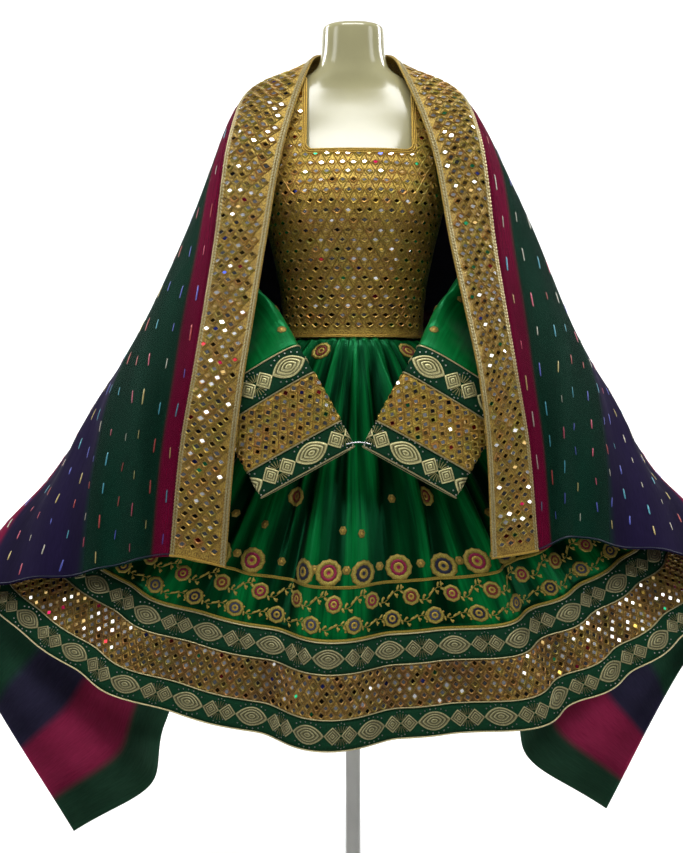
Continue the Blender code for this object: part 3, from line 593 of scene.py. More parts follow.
# %% [markdown]
# Embroidery
#
# Embroidery is one small motif, sewn hundreds of times. embroider() copies its points to every
# place at once and bends them with the cloth. Geometry Nodes could scatter instances, but these
# have to follow the folds point by point.

# %% Sewing motifs onto a ground
STITCH_STAND = 0.0004


class Ground:
    """A piece of cloth to sew on: at(u, v) gives points, and out gives normals, u and v being
    metres along and across it."""

    def __init__(self, at, side=1.0, step=0.002):
        self.at = at
        self.side = side
        self.step = step

    def out(self, u, v):
        """Directions away from the cloth."""
        return self.side * facing(self.at, u, v, self.step, self.step)


def copied_faces(faces, count, wide, base=0):
    """The faces of count copies of a motif that has wide points; triangles stay triangles."""
    quads = np.array([list(face) + [face[-1]] * (4 - len(face)) for face in faces])
    quads = (quads[None] + (base + np.arange(count) * wide)[:, None, None]).reshape(-1, 4)
    return [face[:3] if face[2] == face[3] else face for face in quads.tolist()]


def embroider(name, ground, batches, made_of):
    """Sews motifs onto a ground. Each batch is a motif, with its places u and v, its turns, its
    scales and perhaps a tint for each; a motif is points (x, y, height), faces and colours."""
    all_points, all_faces, all_tints, base = [], [], [], 0
    for (shape, faces, colours), u, v, turns, scales, *tint in batches:
        u, v, turns, scales = np.broadcast_arrays(*(np.asarray(x, float) for x in
                                                    (u, v, turns, scales)))
        c, s = np.cos(turns)[:, None], np.sin(turns)[:, None]
        size = scales[:, None]
        at_u = u[:, None] + (shape[:, 0] * c - shape[:, 1] * s) * size
        at_v = v[:, None] + (shape[:, 0] * s + shape[:, 1] * c) * size
        height = (shape[:, 2] * size + STITCH_STAND)[..., None]
        points = ground.at(at_u, at_v) + ground.out(at_u, at_v) * height
        count, wide = at_u.shape
        all_faces += copied_faces(faces, count, wide, base)
        tints = np.broadcast_to(colours[None], (count, wide, 4))
        if tint:
            tints = tints * np.concatenate([tint[0], np.ones((count, 1))], axis=1)[:, None, :]
        all_points.append(points.reshape(-1, 3))
        all_tints.append(tints.reshape(-1, 4))
        base += count * wide
    return mesh_piece(name, np.concatenate(all_points), all_faces, made_of,
                      attributes=[("tint", np.concatenate(all_tints))])


# %% [markdown]
# Cords
#
# Pipings, braids and bindings are round cords sewn along a line. A curve with a bevel twists on
# folded cloth, so each ring of the cord is set by the direction that faces away from the cloth,
# and a flat braid lies flat all the way.

# %% Laying cords
CORD_SUNK = 0.7


def cord_rings(path, out, radius, closed, sides=6, flat=1.0):
    """Points and faces of a cord along a path, with out its direction away from the cloth."""
    if closed:
        run = unit(np.roll(path, -1, axis=0) - np.roll(path, 1, axis=0))
    else:
        run = unit(np.gradient(path, axis=0))
    across = unit(np.cross(run, out))
    out = unit(np.cross(across, run))
    turns = turns_round(sides)
    ring = (across[:, None, :] * np.cos(turns)[None, :, None]
            + out[:, None, :] * (flat * np.sin(turns))[None, :, None]) * radius
    points = (path + out * radius * flat * CORD_SUNK)[:, None, :] + ring
    count = len(path)
    faces = []
    for j in range(count if closed else count - 1):
        near, far = j * sides, (j + 1) % count * sides
        for k in range(sides):
            after = (k + 1) % sides
            faces.append((near + k, far + k, far + after, near + after))
    if not closed:
        faces.append(tuple(range(sides)))
        faces.append(tuple((count - 1) * sides + k for k in reversed(range(sides))))
    return points.reshape(-1, 3), faces


def cords(name, runs, made_of, replaced=(), sides=6):
    """One piece of several cords; each run is (path, out, radius, closed, colour, flat)."""
    points, faces, tints, base = [], [], [], 0
    for path, out, radius, closed, colour, flat in runs:
        more, more_faces = cord_rings(path, out, radius, closed, sides, flat)
        points.append(more)
        faces += [tuple(base + k for k in face) for face in more_faces]
        tints.append(np.broadcast_to(np.array((*colour, 1.0)), (len(more), 4)))
        base += len(more)
    return mesh_piece(name, np.concatenate(points), faces, made_of, replaced,
                      [("tint", np.concatenate(tints))])


# %% [markdown]
# Motifs
#
# A sewn flower, an eye-shaped medallion and a diamond are the same thing: an outline filled with
# rings of thread, each a little higher or lower and of its own colour. motif() makes the small
# mesh that embroider() copies.

# %% Thread colours
OLD_GOLD = (0.3, 0.19, 0.035)
BRIGHT_GOLD = (0.68, 0.44, 0.07)
CREAM_GOLD = (0.58, 0.51, 0.26)
FRINGE_GOLD = (0.36, 0.27, 0.03)
FRINGE_DARK = (0.09, 0.07, 0.01)
FRINGE_LIGHT = (0.5, 0.4, 0.075)
WOUND_DARK = (0.04, 0.05, 0.016)
WOUND_MID = (0.3, 0.27, 0.1)
WOUND_LIGHT = (0.78, 0.74, 0.38)
SILVER = (0.66, 0.66, 0.6)
MAGENTA = (0.34, 0.008, 0.06)
RUST = (0.24, 0.03, 0.016)
NAVY = (0.012, 0.016, 0.045)
GREY_BLUE = (0.06, 0.075, 0.13)


# %% Motif shapes
EYE_POINTED, DIAMOND_SOFT = 1.8, 0.9


def motif(outline, rings, sides):
    """A filled outline of rings (share of the outline, height, colour), from outside in."""
    turns = turns_round(sides)
    x, y = outline(turns)
    points, colours = [], []
    for share, height, colour in rings:
        points.append(np.stack([x * share, y * share, np.full(sides, height)], axis=-1))
        colours.append(np.tile((*colour, 1.0), (sides, 1)))
    points = np.concatenate(points + [[[0.0, 0.0, rings[-1][1]]]])
    colours = np.concatenate(colours + [[(*rings[-1][2], 1.0)]])
    faces = []
    for j in range(len(rings) - 1):
        for k in range(sides):
            after = (k + 1) % sides
            faces.append((j * sides + k, j * sides + after, (j + 1) * sides + after,
                          (j + 1) * sides + k))
    last = (len(rings) - 1) * sides
    for k in range(sides):
        faces.append((last + k, last + (k + 1) % sides, last + sides))
    return points, faces, colours


def joined(*parts):
    """One motif from several, each moved by (x, y)."""
    points, faces, colours, base = [], [], [], 0
    for (shape, shape_faces, shape_colours), dx, dy in parts:
        points.append(shape + np.array((dx, dy, 0.0)))
        faces += [tuple(base + k for k in face) for face in shape_faces]
        colours.append(shape_colours)
        base += len(shape)
    return np.concatenate(points), faces, np.concatenate(colours)


def both_ways(shape):
    """Faces of a motif turned to face up, whichever way its outline ran."""
    points, faces, colours = shape
    a, b, c = (points[k] for k in faces[0][:3])
    up = np.cross(b - a, c - a)[2]
    return (points, faces, colours) if up > 0 else (points, [f[::-1] for f in faces], colours)


def round_outline(radius, lobes=0, depth=0.0):
    """A circle, or with lobes a scalloped one."""
    return lambda t: (radius * np.cos(t) * (1 + depth * np.cos(lobes * t)),
                      radius * np.sin(t) * (1 + depth * np.cos(lobes * t)))


def eye_outline(half_long, half_wide):
    """A pointed oval."""
    return lambda t: (half_long * np.cos(t),
                      half_wide * np.sign(np.sin(t)) * np.abs(np.sin(t)) ** EYE_POINTED)


def diamond_outline(half_long, half_wide):
    """A diamond with its corners worn a little soft."""
    def outline(t):
        reach = 1.0 / (np.abs(np.cos(t)) + np.abs(np.sin(t))) ** DIAMOND_SOFT
        return half_long * reach * np.cos(t), half_wide * reach * np.sin(t)
    return outline


def rosette(radius, ring_colour, sides):
    """A serrated gold fringe, a coloured ring between gold lines, and a gold dot."""
    return both_ways(motif(round_outline(radius, sides // 2, 0.035), (
        (1.0, 0.0, FRINGE_DARK), (0.94, 0.0009, FRINGE_GOLD), (0.8, 0.0012, FRINGE_LIGHT),
        (0.66, 0.0011, FRINGE_GOLD), (0.62, 0.0003, FRINGE_DARK), (0.58, 0.0009, ring_colour),
        (0.43, 0.0009, ring_colour), (0.39, 0.0003, FRINGE_DARK), (0.34, 0.001, BRIGHT_GOLD),
        (0.18, 0.001, FRINGE_GOLD), (0.12, 0.0004, ring_colour)), sides))


# %% [markdown]
# Finishes
#
# Each finish is a Principled shader with the grain that the real material has. Photographs of
# cloth would fix the size of the weave and the light in it. Noise that reads the cloth's own
# metres keeps its real size on every sheet.

# %% Shader helpers
WHITE = (1.0, 1.0, 1.0)


def finish(name, roughness, metallic=0.0, colour=(0.5, 0.5, 0.5), **sockets):
    """A material, its node tree and its shader, with the sockets that are the same all over."""
    made = bpy.data.materials.new(name)
    made.use_nodes = True
    shader = made.node_tree.nodes["Principled BSDF"]
    shader.inputs["Base Color"].default_value = (*colour, 1.0)
    shader.inputs["Roughness"].default_value = roughness
    shader.inputs["Metallic"].default_value = metallic
    for socket, value in sockets.items():
        shader.inputs[socket.replace("_", " ")].default_value = value
    return made, made.node_tree, shader


def node(tree, kind, **values):
    """A node with its sockets and settings."""
    made = tree.nodes.new(kind)
    for key, value in values.items():
        if key in made.inputs:
            made.inputs[key].default_value = value
        else:
            setattr(made, key, value)
    return made


def cloth_parts(tree):
    """What the cloth's points carry: metres along, metres down, and painted shade, 0 in troughs
    to 1 on crests.
    """
    read = node(tree, "ShaderNodeAttribute", attribute_name="cloth")
    parts = node(tree, "ShaderNodeSeparateXYZ")
    tree.links.new(read.outputs["Vector"], parts.inputs[0])
    return parts.outputs


def tint_of(tree):
    """The colour written on the points of sewn work; on mirrors a painted reflection, and on
    rims, cords and ribbon motifs painted light as well.
    """
    return node(tree, "ShaderNodeAttribute", attribute_name="tint").outputs["Color"]


# %% Grains
def metres_of(tree, scale):
    """The cloth's own coordinates in metres, scaled."""
    read = node(tree, "ShaderNodeAttribute", attribute_name="cloth")
    scaled = node(tree, "ShaderNodeVectorMath", operation="MULTIPLY")
    scaled.inputs[1].default_value = scale
    tree.links.new(read.outputs["Vector"], scaled.inputs[0])
    return scaled.outputs[0]


def grain(tree, along, down, detail, roughness=0.5):
    """Noise with so many grains to the metre along and down the cloth."""
    made = node(tree, "ShaderNodeTexNoise", Scale=1.0, Detail=detail, Roughness=roughness)
    tree.links.new(metres_of(tree, (along, down, 0.0)), made.inputs["Vector"])
    return made.outputs[0]


def speckle(tree, scale, detail, roughness=0.5):
    """Noise in the piece's own space, for thread, glass, plastic and wire."""
    place = node(tree, "ShaderNodeTexCoord")
    made = node(tree, "ShaderNodeTexNoise", Scale=scale, Detail=detail, Roughness=roughness)
    tree.links.new(place.outputs["Object"], made.inputs["Vector"])
    return made.outputs[0]


# %% Colour and relief
def ramp(tree, source, stops):
    """Colours (place, colour) that follow a grain."""
    made = node(tree, "ShaderNodeValToRGB")
    while len(made.color_ramp.elements) < len(stops):
        made.color_ramp.elements.new(1.0)
    for element, (place, colour) in zip(made.color_ramp.elements, stops):
        element.position = place
        element.color = (*colour, 1.0)
    tree.links.new(source, made.inputs[0])
    return made.outputs[0]


def coloured(tree, shader, colour, *layers):
    """Gives the shader a colour, multiplied by each of the layers."""
    for layer in layers:
        mixed = node(tree, "ShaderNodeMix", data_type="RGBA", blend_type="MULTIPLY")
        mixed.inputs[0].default_value = 1.0
        tree.links.new(colour, mixed.inputs[6])
        tree.links.new(layer, mixed.inputs[7])
        colour = mixed.outputs[2]
    tree.links.new(colour, shader.inputs["Base Color"])


def bump(tree, shader, height, depth, strength, under=None):
    """Relief of a depth in metres, on top of what is under it."""
    made = node(tree, "ShaderNodeBump", Strength=strength, Distance=depth)
    tree.links.new(height, made.inputs["Height"])
    if under:
        tree.links.new(under, made.inputs["Normal"])
    tree.links.new(made.outputs[0], shader.inputs["Normal"])
    return made.outputs[0]


def rough_between(tree, shader, source, low, high):
    """Roughness that follows a grain."""
    spread = node(tree, "ShaderNodeMapRange")
    spread.inputs[3].default_value = low
    spread.inputs[4].default_value = high
    tree.links.new(source, spread.inputs[0])
    tree.links.new(spread.outputs[0], shader.inputs["Roughness"])


# %% [markdown]
# Satin and velvet
#
# Satin is dark, glossy and streaked along its warp. A plain glossy green looks like plastic, so
# shade is painted into its colour: nearly black in the troughs of its folds, with finer painted
# dark slits of creases between them.
# Velvet drinks light and glows a little at its edges, which the sheen gives.

# %% Satin and velvet
def satin_finish():
    made, tree, shader = finish("green_satin", 0.28, Sheen_Weight=0.03, Sheen_Roughness=0.35,
                                Anisotropic=0.4, Specular_IOR_Level=0.4,
                                Sheen_Tint=(0.05, 0.9, 0.3, 1.0),
                                Specular_Tint=(0.05, 1.0, 0.35, 1.0))
    streaks = grain(tree, 260.0, 9.0, 4.0, 0.6)
    green = ramp(tree, streaks, ((0.3, (0.001, 0.08, 0.014)), (0.7, (0.002, 0.16, 0.032))))
    # Painted shade: depth darkens the colour to nearly black in the troughs of the folds, and noise
    # paints narrow dark crease slits between them.
    depth = ramp(tree, cloth_parts(tree)[2], (
        (0.08, (0.02, 0.04, 0.05)), (0.45, (0.24, 0.28, 0.3)), (0.82, WHITE)))
    painted_crease_slits = ramp(tree, grain(tree, 52.0, 4.0, 3.0), ((0.36, (0.22, 0.26, 0.28)), (0.54, WHITE)))
    coloured(tree, shader, green, depth, painted_crease_slits)
    rough_between(tree, shader, streaks, 0.24, 0.4)
    creases = bump(tree, shader, grain(tree, 42.0, 6.0, 2.0), 0.004, 0.6)
    weave = node(tree, "ShaderNodeTexWave", Scale=1.0)
    tree.links.new(metres_of(tree, (1400.0, 0.0, 0.0)), weave.inputs["Vector"])
    bump(tree, shader, weave.outputs[1], 0.00005, 0.35, creases)
    return made


def velvet_finish():
    made, tree, shader = finish("bottle_green_velvet", 0.85, Sheen_Weight=0.1,
                                Sheen_Roughness=0.3, Specular_IOR_Level=0.15,
                                Sheen_Tint=(0.05, 0.45, 0.22, 1.0))
    pile = grain(tree, 420.0, 420.0, 5.0, 0.65)
    coloured(tree, shader, ramp(tree, pile, ((0.3, (0.001, 0.02, 0.007)),
                                             (0.72, (0.003, 0.05, 0.019)))))
    bump(tree, shader, pile, 0.0006, 0.6)
    return made


SATIN = satin_finish()
VELVET = velvet_finish()
print("woven finishes:", SATIN.name, "and", VELVET.name)

# %% [markdown]
# Gold ground
#
# The ground of the mirror work is brown cloth covered in wound metal thread. A smooth gold metal
# would shine like a tray. Thread breaks the shine up, so the grain swings between deep brown and
# bright yellow, only partly metallic. The hem's ground is darker.

# %% Gold ground
def gold_ground_finish(name, dark, light):
    made, tree, shader = finish(name, 0.42, 0.32, Sheen_Weight=0.06)
    threads = grain(tree, 340.0, 460.0, 6.0, 0.7)
    gold = ramp(tree, threads, ((0.38, dark), (0.58, light)))
    patches = ramp(tree, grain(tree, 60.0, 60.0, 3.0), ((0.3, (0.6, 0.54, 0.48)), (0.7, WHITE)))
    # Painted shade: the cloth's shade darkens the gold in the troughs of folds and creases, low on
    # the bodice and towards the ends of the shawl's border.
    painted_shade = ramp(tree, cloth_parts(tree)[2], ((0.0, (0.3, 0.25, 0.2)), (1.0, WHITE)))
    coloured(tree, shader, gold, patches, painted_shade)
    bump(tree, shader, threads, 0.0012, 0.9)
    return made


GOLD_GROUND = gold_ground_finish("gold_ground", (0.24, 0.115, 0.012), (1.0, 0.72, 0.12))
HEM_GROUND = gold_ground_finish("hem_gold_ground", (0.13, 0.058, 0.008), (0.66, 0.42, 0.075))
print("gold grounds:", GOLD_GROUND.name, "and", HEM_GROUND.name)

# %% [markdown]
# Sewn thread and mirrors
#
# Sewn motifs and mirrors take their colour from their own points, so that one finish serves every
# flower and another every mirror. The mirrors are slightly hazy: a perfect one this small would
# only flicker between black and white.

# %% Thread and mirrors
def thread_finish(name, roughness, metallic, depth):
    made, tree, shader = finish(name, roughness, metallic, Sheen_Weight=0.1)
    strands = speckle(tree, 900.0, 4.0, 0.7)
    coloured(tree, shader, tint_of(tree),
             ramp(tree, strands, ((0.36, (0.34, 0.31, 0.28)), (0.6, WHITE))))
    bump(tree, shader, strands, 0.0005, depth)
    return made


def mirror_finish():
    made, tree, shader = finish("set_mirror", 0.09, 1.0)
    coloured(tree, shader, tint_of(tree))
    rough_between(tree, shader, speckle(tree, 700.0, 3.0), 0.05, 0.22)
    return made


GOLD_CORD = thread_finish("gold_cord", 0.34, 0.5, 0.8)
THREAD = thread_finish("sewn_thread", 0.42, 0.5, 1.0)
BRAID = thread_finish("gold_braid", 0.4, 0.6, 0.9)
BEADS = thread_finish("silver_beads", 0.3, 0.7, 0.2)
LUREX = thread_finish("voile_lurex", 0.4, 0.35, 0.2)
MIRROR = mirror_finish()
print("sewn finishes:", *(made.name for made in (GOLD_CORD, THREAD, BRAID, BEADS, LUREX, MIRROR)))

# %% [markdown]
# Voile
#
# The shawl's voile is woven in broad stripes that run its whole length. One ramp over the metres
# down the cloth holds them all, each with a narrow change of colour at its edges. Cloth that
# lies double or treble looks solid, so only the front stripes let much of the dress through.

# %% Voile
# Each stop: share of the way down the shawl, and the colour there
STRIPES = (
    (0.0, (0.17, 0.003, 0.032)), (0.127, (0.17, 0.003, 0.032)), (0.133, (0.004, 0.036, 0.02)),
    (0.272, (0.004, 0.034, 0.02)), (0.29, (0.014, 0.009, 0.04)), (0.444, (0.015, 0.01, 0.042)),
    (0.452, (0.22, 0.005, 0.046)), (0.552, (0.22, 0.006, 0.048)), (0.566, (0.02, 0.08, 0.045)),
    (0.764, (0.026, 0.1, 0.055)), (0.778, (0.05, 0.046, 0.1)), (0.844, (0.052, 0.046, 0.105)),
    (0.856, (0.46, 0.03, 0.11)), (0.934, (0.44, 0.03, 0.106)), (0.946, (0.03, 0.1, 0.056)),
    (1.0, (0.028, 0.092, 0.05)),
)
VOILE_COVER, SHEER_COVER, SHEER_TO = 0.978, 0.86, 0.28


def voile_finish(name, cover):
    made, tree, shader = finish(name, 0.8, Alpha=cover, Specular_IOR_Level=0.04)
    parts = cloth_parts(tree)
    stripe = ramp(tree, parts[1], STRIPES)
    slubs = ramp(tree, grain(tree, 30.0, 500.0, 4.0, 0.65), ((0.3, (0.66,) * 3), (0.7, WHITE)))
    # Painted shade of soft folds: the stripes are darker in their troughs.
    folds = ramp(tree, parts[2], ((0.0, (0.5,) * 3), (1.0, WHITE)))
    coloured(tree, shader, stripe, slubs, folds)
    bump(tree, shader, grain(tree, 9.0, 42.0, 2.0), 0.004, 0.5)
    return made


VOILE = voile_finish("striped_voile", VOILE_COVER)
SHEER_VOILE = voile_finish("sheer_voile", SHEER_COVER)
print("the voile has", len(STRIPES) // 2, "stripes")

# %% [markdown]
# Plastic, enamel and wire
#
# The form is moulded in cream plastic with a polished skin, its stand is enamelled, and the pin
# is drawn steel. Each has a faint cloudiness or drawing, without which they look computer made.

# %% Plastic, enamel and wire
def plastic_finish(name, colour, roughness):
    made, tree, shader = finish(name, roughness, Coat_Weight=0.6, Coat_Roughness=0.12)
    cloudy = speckle(tree, 9.0, 4.0)
    pale = tuple(min(1.0, channel * 1.06) for channel in colour)
    dull = tuple(channel * 0.92 for channel in colour)
    coloured(tree, shader, ramp(tree, cloudy, ((0.35, dull), (0.65, pale))))
    bump(tree, shader, cloudy, 0.0008, 0.3)
    return made


def wire_finish():
    made, tree, shader = finish("steel_wire", 0.25, 1.0)
    coloured(tree, shader, ramp(tree, speckle(tree, 1500.0, 2.0), (
        (0.3, (0.55, 0.56, 0.58)), (0.7, (0.85,) * 3))))
    return made


PLASTIC = plastic_finish("cream_plastic", (0.4, 0.375, 0.2), 0.2)
ENAMEL = plastic_finish("cream_enamel", (0.82, 0.81, 0.77), 0.3)
WIRE = wire_finish()
print("hard finishes:", PLASTIC.name, ENAMEL.name, "and", WIRE.name)

# %% [markdown]
# The dress form and its stand
#
# The form is one smooth shell of cream plastic. It is rebuilt from the same levels as its solid,
# with many more of them, a little inside the skin that the bodice is cut to, and with its
# shoulders coming out to carry the bodice. The pole and foot are turned profiles.

# %% Form
FORM_INSET, SHOULDER_SEAT, STRAP_TOP = 0.005, 0.0028, 1.396
FORM_SIDES, FORM_FOOT, FORM_FOOT_ROUND, NECK_EDGE, NECK_TOP = 96, 0.69, 0.705, 1.485, 1.497


def form_point(turn, height):
    """The form's own skin: inside the cloth, but out to the bodice at the shoulders."""
    skin = body(turn, height)
    outward = unit(skin * np.array((1.0, 1.0, 0.0)))
    inset = FORM_INSET * ease((STRAP_TOP + 0.02 - height) / 0.03)
    seat = (SHOULDER_SEAT * ease((np.abs(skin[..., 0]) - 0.12) / 0.03)
            * ease((height - 1.31) / 0.03))
    return skin - outward * (inset - seat)[..., None]


def capped(rows, sides):
    """Faces of a tube of rows of points, closed at both ends."""
    return grid_faces(rows, sides, closed=True) + [
        list(reversed(range(sides))), [(rows - 1) * sides + k for k in range(sides)]]


form_heights = np.concatenate([np.linspace(FORM_FOOT, FORM_FOOT_ROUND, 5)[:-1],
                               np.linspace(FORM_FOOT_ROUND, NECK_EDGE, 90),
                               np.linspace(NECK_EDGE, NECK_TOP, 7)[1:]])
form_turns = turns_round(FORM_SIDES)
form = mesh_piece("form_shell", form_point(*np.meshgrid(form_turns, form_heights)),
                  capped(len(form_heights), FORM_SIDES), PLASTIC, ["form_body"],
                  smooth=40.0)


# %% Pole and foot
def turned(name, profile, sides, replaced):
    """An enamelled piece turned about Z; profile runs bottom to top as (radius, height)."""
    radius, height = np.array(profile).T
    turns = turns_round(sides)
    points = np.stack([radius[:, None] * np.cos(turns), radius[:, None] * np.sin(turns),
                       np.broadcast_to(height[:, None], (len(radius), sides))], axis=-1)
    return mesh_piece(name, points, capped(len(radius), sides), ENAMEL,
                      [replaced], smooth=30.0)


POLE, COLLAR, FOOT, FOOT_THICK = 0.0125, 0.032, 0.185, 0.014
pole_top = FORM_FOOT - SEAM_GAP
turned("pole_turned", (
    (COLLAR - 0.001, FOOT_THICK + SEAM_GAP), (COLLAR, FOOT_THICK + 0.0013),
    (COLLAR, FOOT_THICK + 0.006), (COLLAR - 0.004, FOOT_THICK + 0.01),
    (POLE + 0.008, FOOT_THICK + 0.015), (POLE + 0.004, FOOT_THICK + 0.022),
    (POLE, FOOT_THICK + 0.03), (POLE, pole_top - 0.03), (COLLAR, pole_top - 0.008),
    (COLLAR, pole_top)), 48, "stand_pole")
turned("foot_turned", (
    (FOOT - 0.003, 0.0), (FOOT - 0.0008, 0.001), (FOOT, 0.003), (FOOT, FOOT_THICK - 0.004),
    (FOOT - 0.001, FOOT_THICK - 0.0014), (FOOT - 0.004, FOOT_THICK),
    (FOOT - 0.03, FOOT_THICK)), 128, "stand_base")
print("form, pole and foot have", sum(COUNTS.values()), "triangles")

# %% [markdown]
# Mirror work
#
# Afghan mirror work sets small mirrors in gold cord. Modelled mirrors, each tilted a little its
# own way, flash as the real ones do, which no painted pattern would; their tints also paint in
# part of what they reflect. Each mirror is a small cut plate in a raised gold rim, and short
# strands of cord cross between them.

# %% Mirrors, rims and strands
STRAND_WIDE, STRAND_HIGH, STRAND_DULL = 0.0008, 0.0009, 0.7
MIRROR_SIDES, RIM_THICK, RIM_HIGH, RIM_FOOT = 8, 0.0012, 0.0018, 1.7


def mirror_motif(half_long, half_wide):
    """A flat cut mirror; its colour is multiplied by each one's own tint, a painted reflection."""
    return both_ways(motif(diamond_outline(half_long, half_wide),
                           ((1.0, 0.0005, WHITE), (0.86, 0.0011, WHITE)), MIRROR_SIDES))


def rim_motif(half_long, half_wide, colour):
    """The gold rim round a mirror, open in the middle and heavier below, like a cup."""
    turns = turns_round(MIRROR_SIDES)
    x, y = diamond_outline(half_long, half_wide)(turns)
    reach = np.hypot(x, y)
    thick = RIM_THICK * (1.0 - 0.45 * np.sin(turns))
    rows = []
    for grow, height in ((thick * RIM_FOOT, 0.0), (thick, RIM_HIGH), (0.0, 0.0007)):
        rows.append(np.stack([x * (1 + grow / reach), y * (1 + grow / reach),
                              np.full(MIRROR_SIDES, height)], axis=-1))
    return both_ways((np.concatenate(rows), grid_faces(3, MIRROR_SIDES, closed=True),
                      np.tile((*colour, 1.0), (3 * MIRROR_SIDES, 1))))


def strand_motif(dx, dy, half_wide, height, colour, cells=2):
    """A short ridge of cord from (0, 0) to (dx, dy)."""
    side = np.array((-dy, dx)) / math.hypot(dx, dy) * half_wide
    points = []
    for share in np.linspace(0.0, 1.0, cells + 1):
        lift = height * (0.75 + 0.25 * math.sin(math.pi * share))
        centre = np.array((dx, dy)) * share
        points += [(*(centre + side * k), h) for k, h in ((-1.0, 0.0), (0.0, lift), (1.0, 0.0))]
    faces = [(3 * j + k, 3 * j + k + 1, 3 * j + k + 4, 3 * j + k + 3)
             for j in range(cells) for k in range(2)]
    return both_ways((np.array(points), faces, np.tile((*colour, 1.0), (len(points), 1))))


# %% [markdown]
# Where the mirrors lie, and what they catch
#
# Rows of mirrors are half a step out of line, so the cords between them cross in diamonds. Most of
# the dress faces a dim room, so most mirrors get dark tints that paint in that room's reflection,
# more of them pale tints, painted reflections of the lamps, where the real dress catches its lamps,
# and one in twenty is coloured.

# %% Places and painted reflections
COLOURED_SHARE, WARM_BELOW = 0.05, 0.4
# Painted reflections: shades with their odds for mirrors that catch the lamps and for those that see
# the dim room, and the gold cast that half of the darker ones get.
LAMP_REFLECTIONS = ((0.95, 0.75, 0.5, 0.2), (0.5, 0.28, 0.14, 0.08))
ROOM_REFLECTIONS = ((0.66, 0.42, 0.22, 0.09, 0.03), (0.2, 0.24, 0.22, 0.2, 0.14))
GOLD_REFLECTION_CAST = (1.25, 0.85, 0.32)
GLASS = np.array(((0.36, 0.01, 0.06), (0.42, 0.03, 0.04), (0.02, 0.28, 0.12), (0.05, 0.07, 0.35),
                  (0.6, 0.4, 0.08)))


def lattice(u_low, u_high, v_low, v_high, pitch, row_pitch, shift=0.0):
    """Places in rows that are half a step out of line."""
    u, v = [], []
    for row in range(math.ceil(v_low / row_pitch), math.floor(v_high / row_pitch) + 1):
        start = shift + (pitch / 2 if row % 2 else 0.0)
        steps = np.arange(math.ceil((u_low - start) / pitch),
                          math.floor((u_high - start) / pitch) + 1)
        u.append(start + pitch * steps)
        v.append(np.full(len(steps), row * row_pitch))
    return np.concatenate(u), np.concatenate(v)


def painted_mirror_reflections(painted_light, seed):
    """Painted reflections: pale tints for the lamps where the first argument is near 1, dark and
    gold-cast tints for the dim room where it is near 0, and a few coloured mirrors everywhere."""
    rng = np.random.default_rng(seed)
    count = len(painted_light)
    lamp_reflection = rng.choice(LAMP_REFLECTIONS[0], count, p=LAMP_REFLECTIONS[1])
    room_reflection = rng.choice(ROOM_REFLECTIONS[0], count, p=ROOM_REFLECTIONS[1])
    gold_reflection = rng.random(count) < 0.5
    shade = np.where(rng.random(count) < painted_light, lamp_reflection, room_reflection)
    tints = shade[:, None] * np.where((gold_reflection & (shade < WARM_BELOW))[:, None], GOLD_REFLECTION_CAST, WHITE)
    coloured_ones = rng.random(count) < COLOURED_SHARE
    tints[coloured_ones] = GLASS[rng.integers(0, len(GLASS), coloured_ones.sum())]
    return np.minimum(tints, 1.0)


# %% [markdown]
# Setting the mirrors
#
# A rim holds a mirror flat while the cloth bends under it. So embroider() sews the rims and cords,
# and the plates are set one by one, each on its own flat frame and leaning a few degrees its own
# way. That lean makes some of them flash.

# %% Mirror work
SCATTER, TILT, LEAN, SIZE_SPREAD, PROBE, MIRROR_STAND = 0.0004, 0.09, 0.1, 0.05, 0.001, 0.0002


def flat_mirrors(ground, u, v, plate, tilt, scale, lean_u, lean_v):
    """Points of flat plates on a ground, each turned and leaning its own way."""
    points = plate[0]
    out = ground.out(u, v)
    along = unit(ground.at(u + PROBE, v) - ground.at(u - PROBE, v))
    across = np.cross(out, along)
    ahead = np.sum(across * (ground.at(u, v + PROBE) - ground.at(u, v - PROBE)), axis=-1) > 0
    across = across * np.where(ahead, 1.0, -1.0)[:, None]
    c, s = np.cos(tilt)[:, None], np.sin(tilt)[:, None]
    x = (points[:, 0] * c - points[:, 1] * s) * scale[:, None]
    y = (points[:, 0] * s + points[:, 1] * c) * scale[:, None]
    h = points[:, 2] + MIRROR_STAND + x * lean_u[:, None] + y * lean_v[:, None]
    return (ground.at(u, v)[:, None] + along[:, None] * x[..., None]
            + across[:, None] * y[..., None] + out[:, None] * h[..., None])


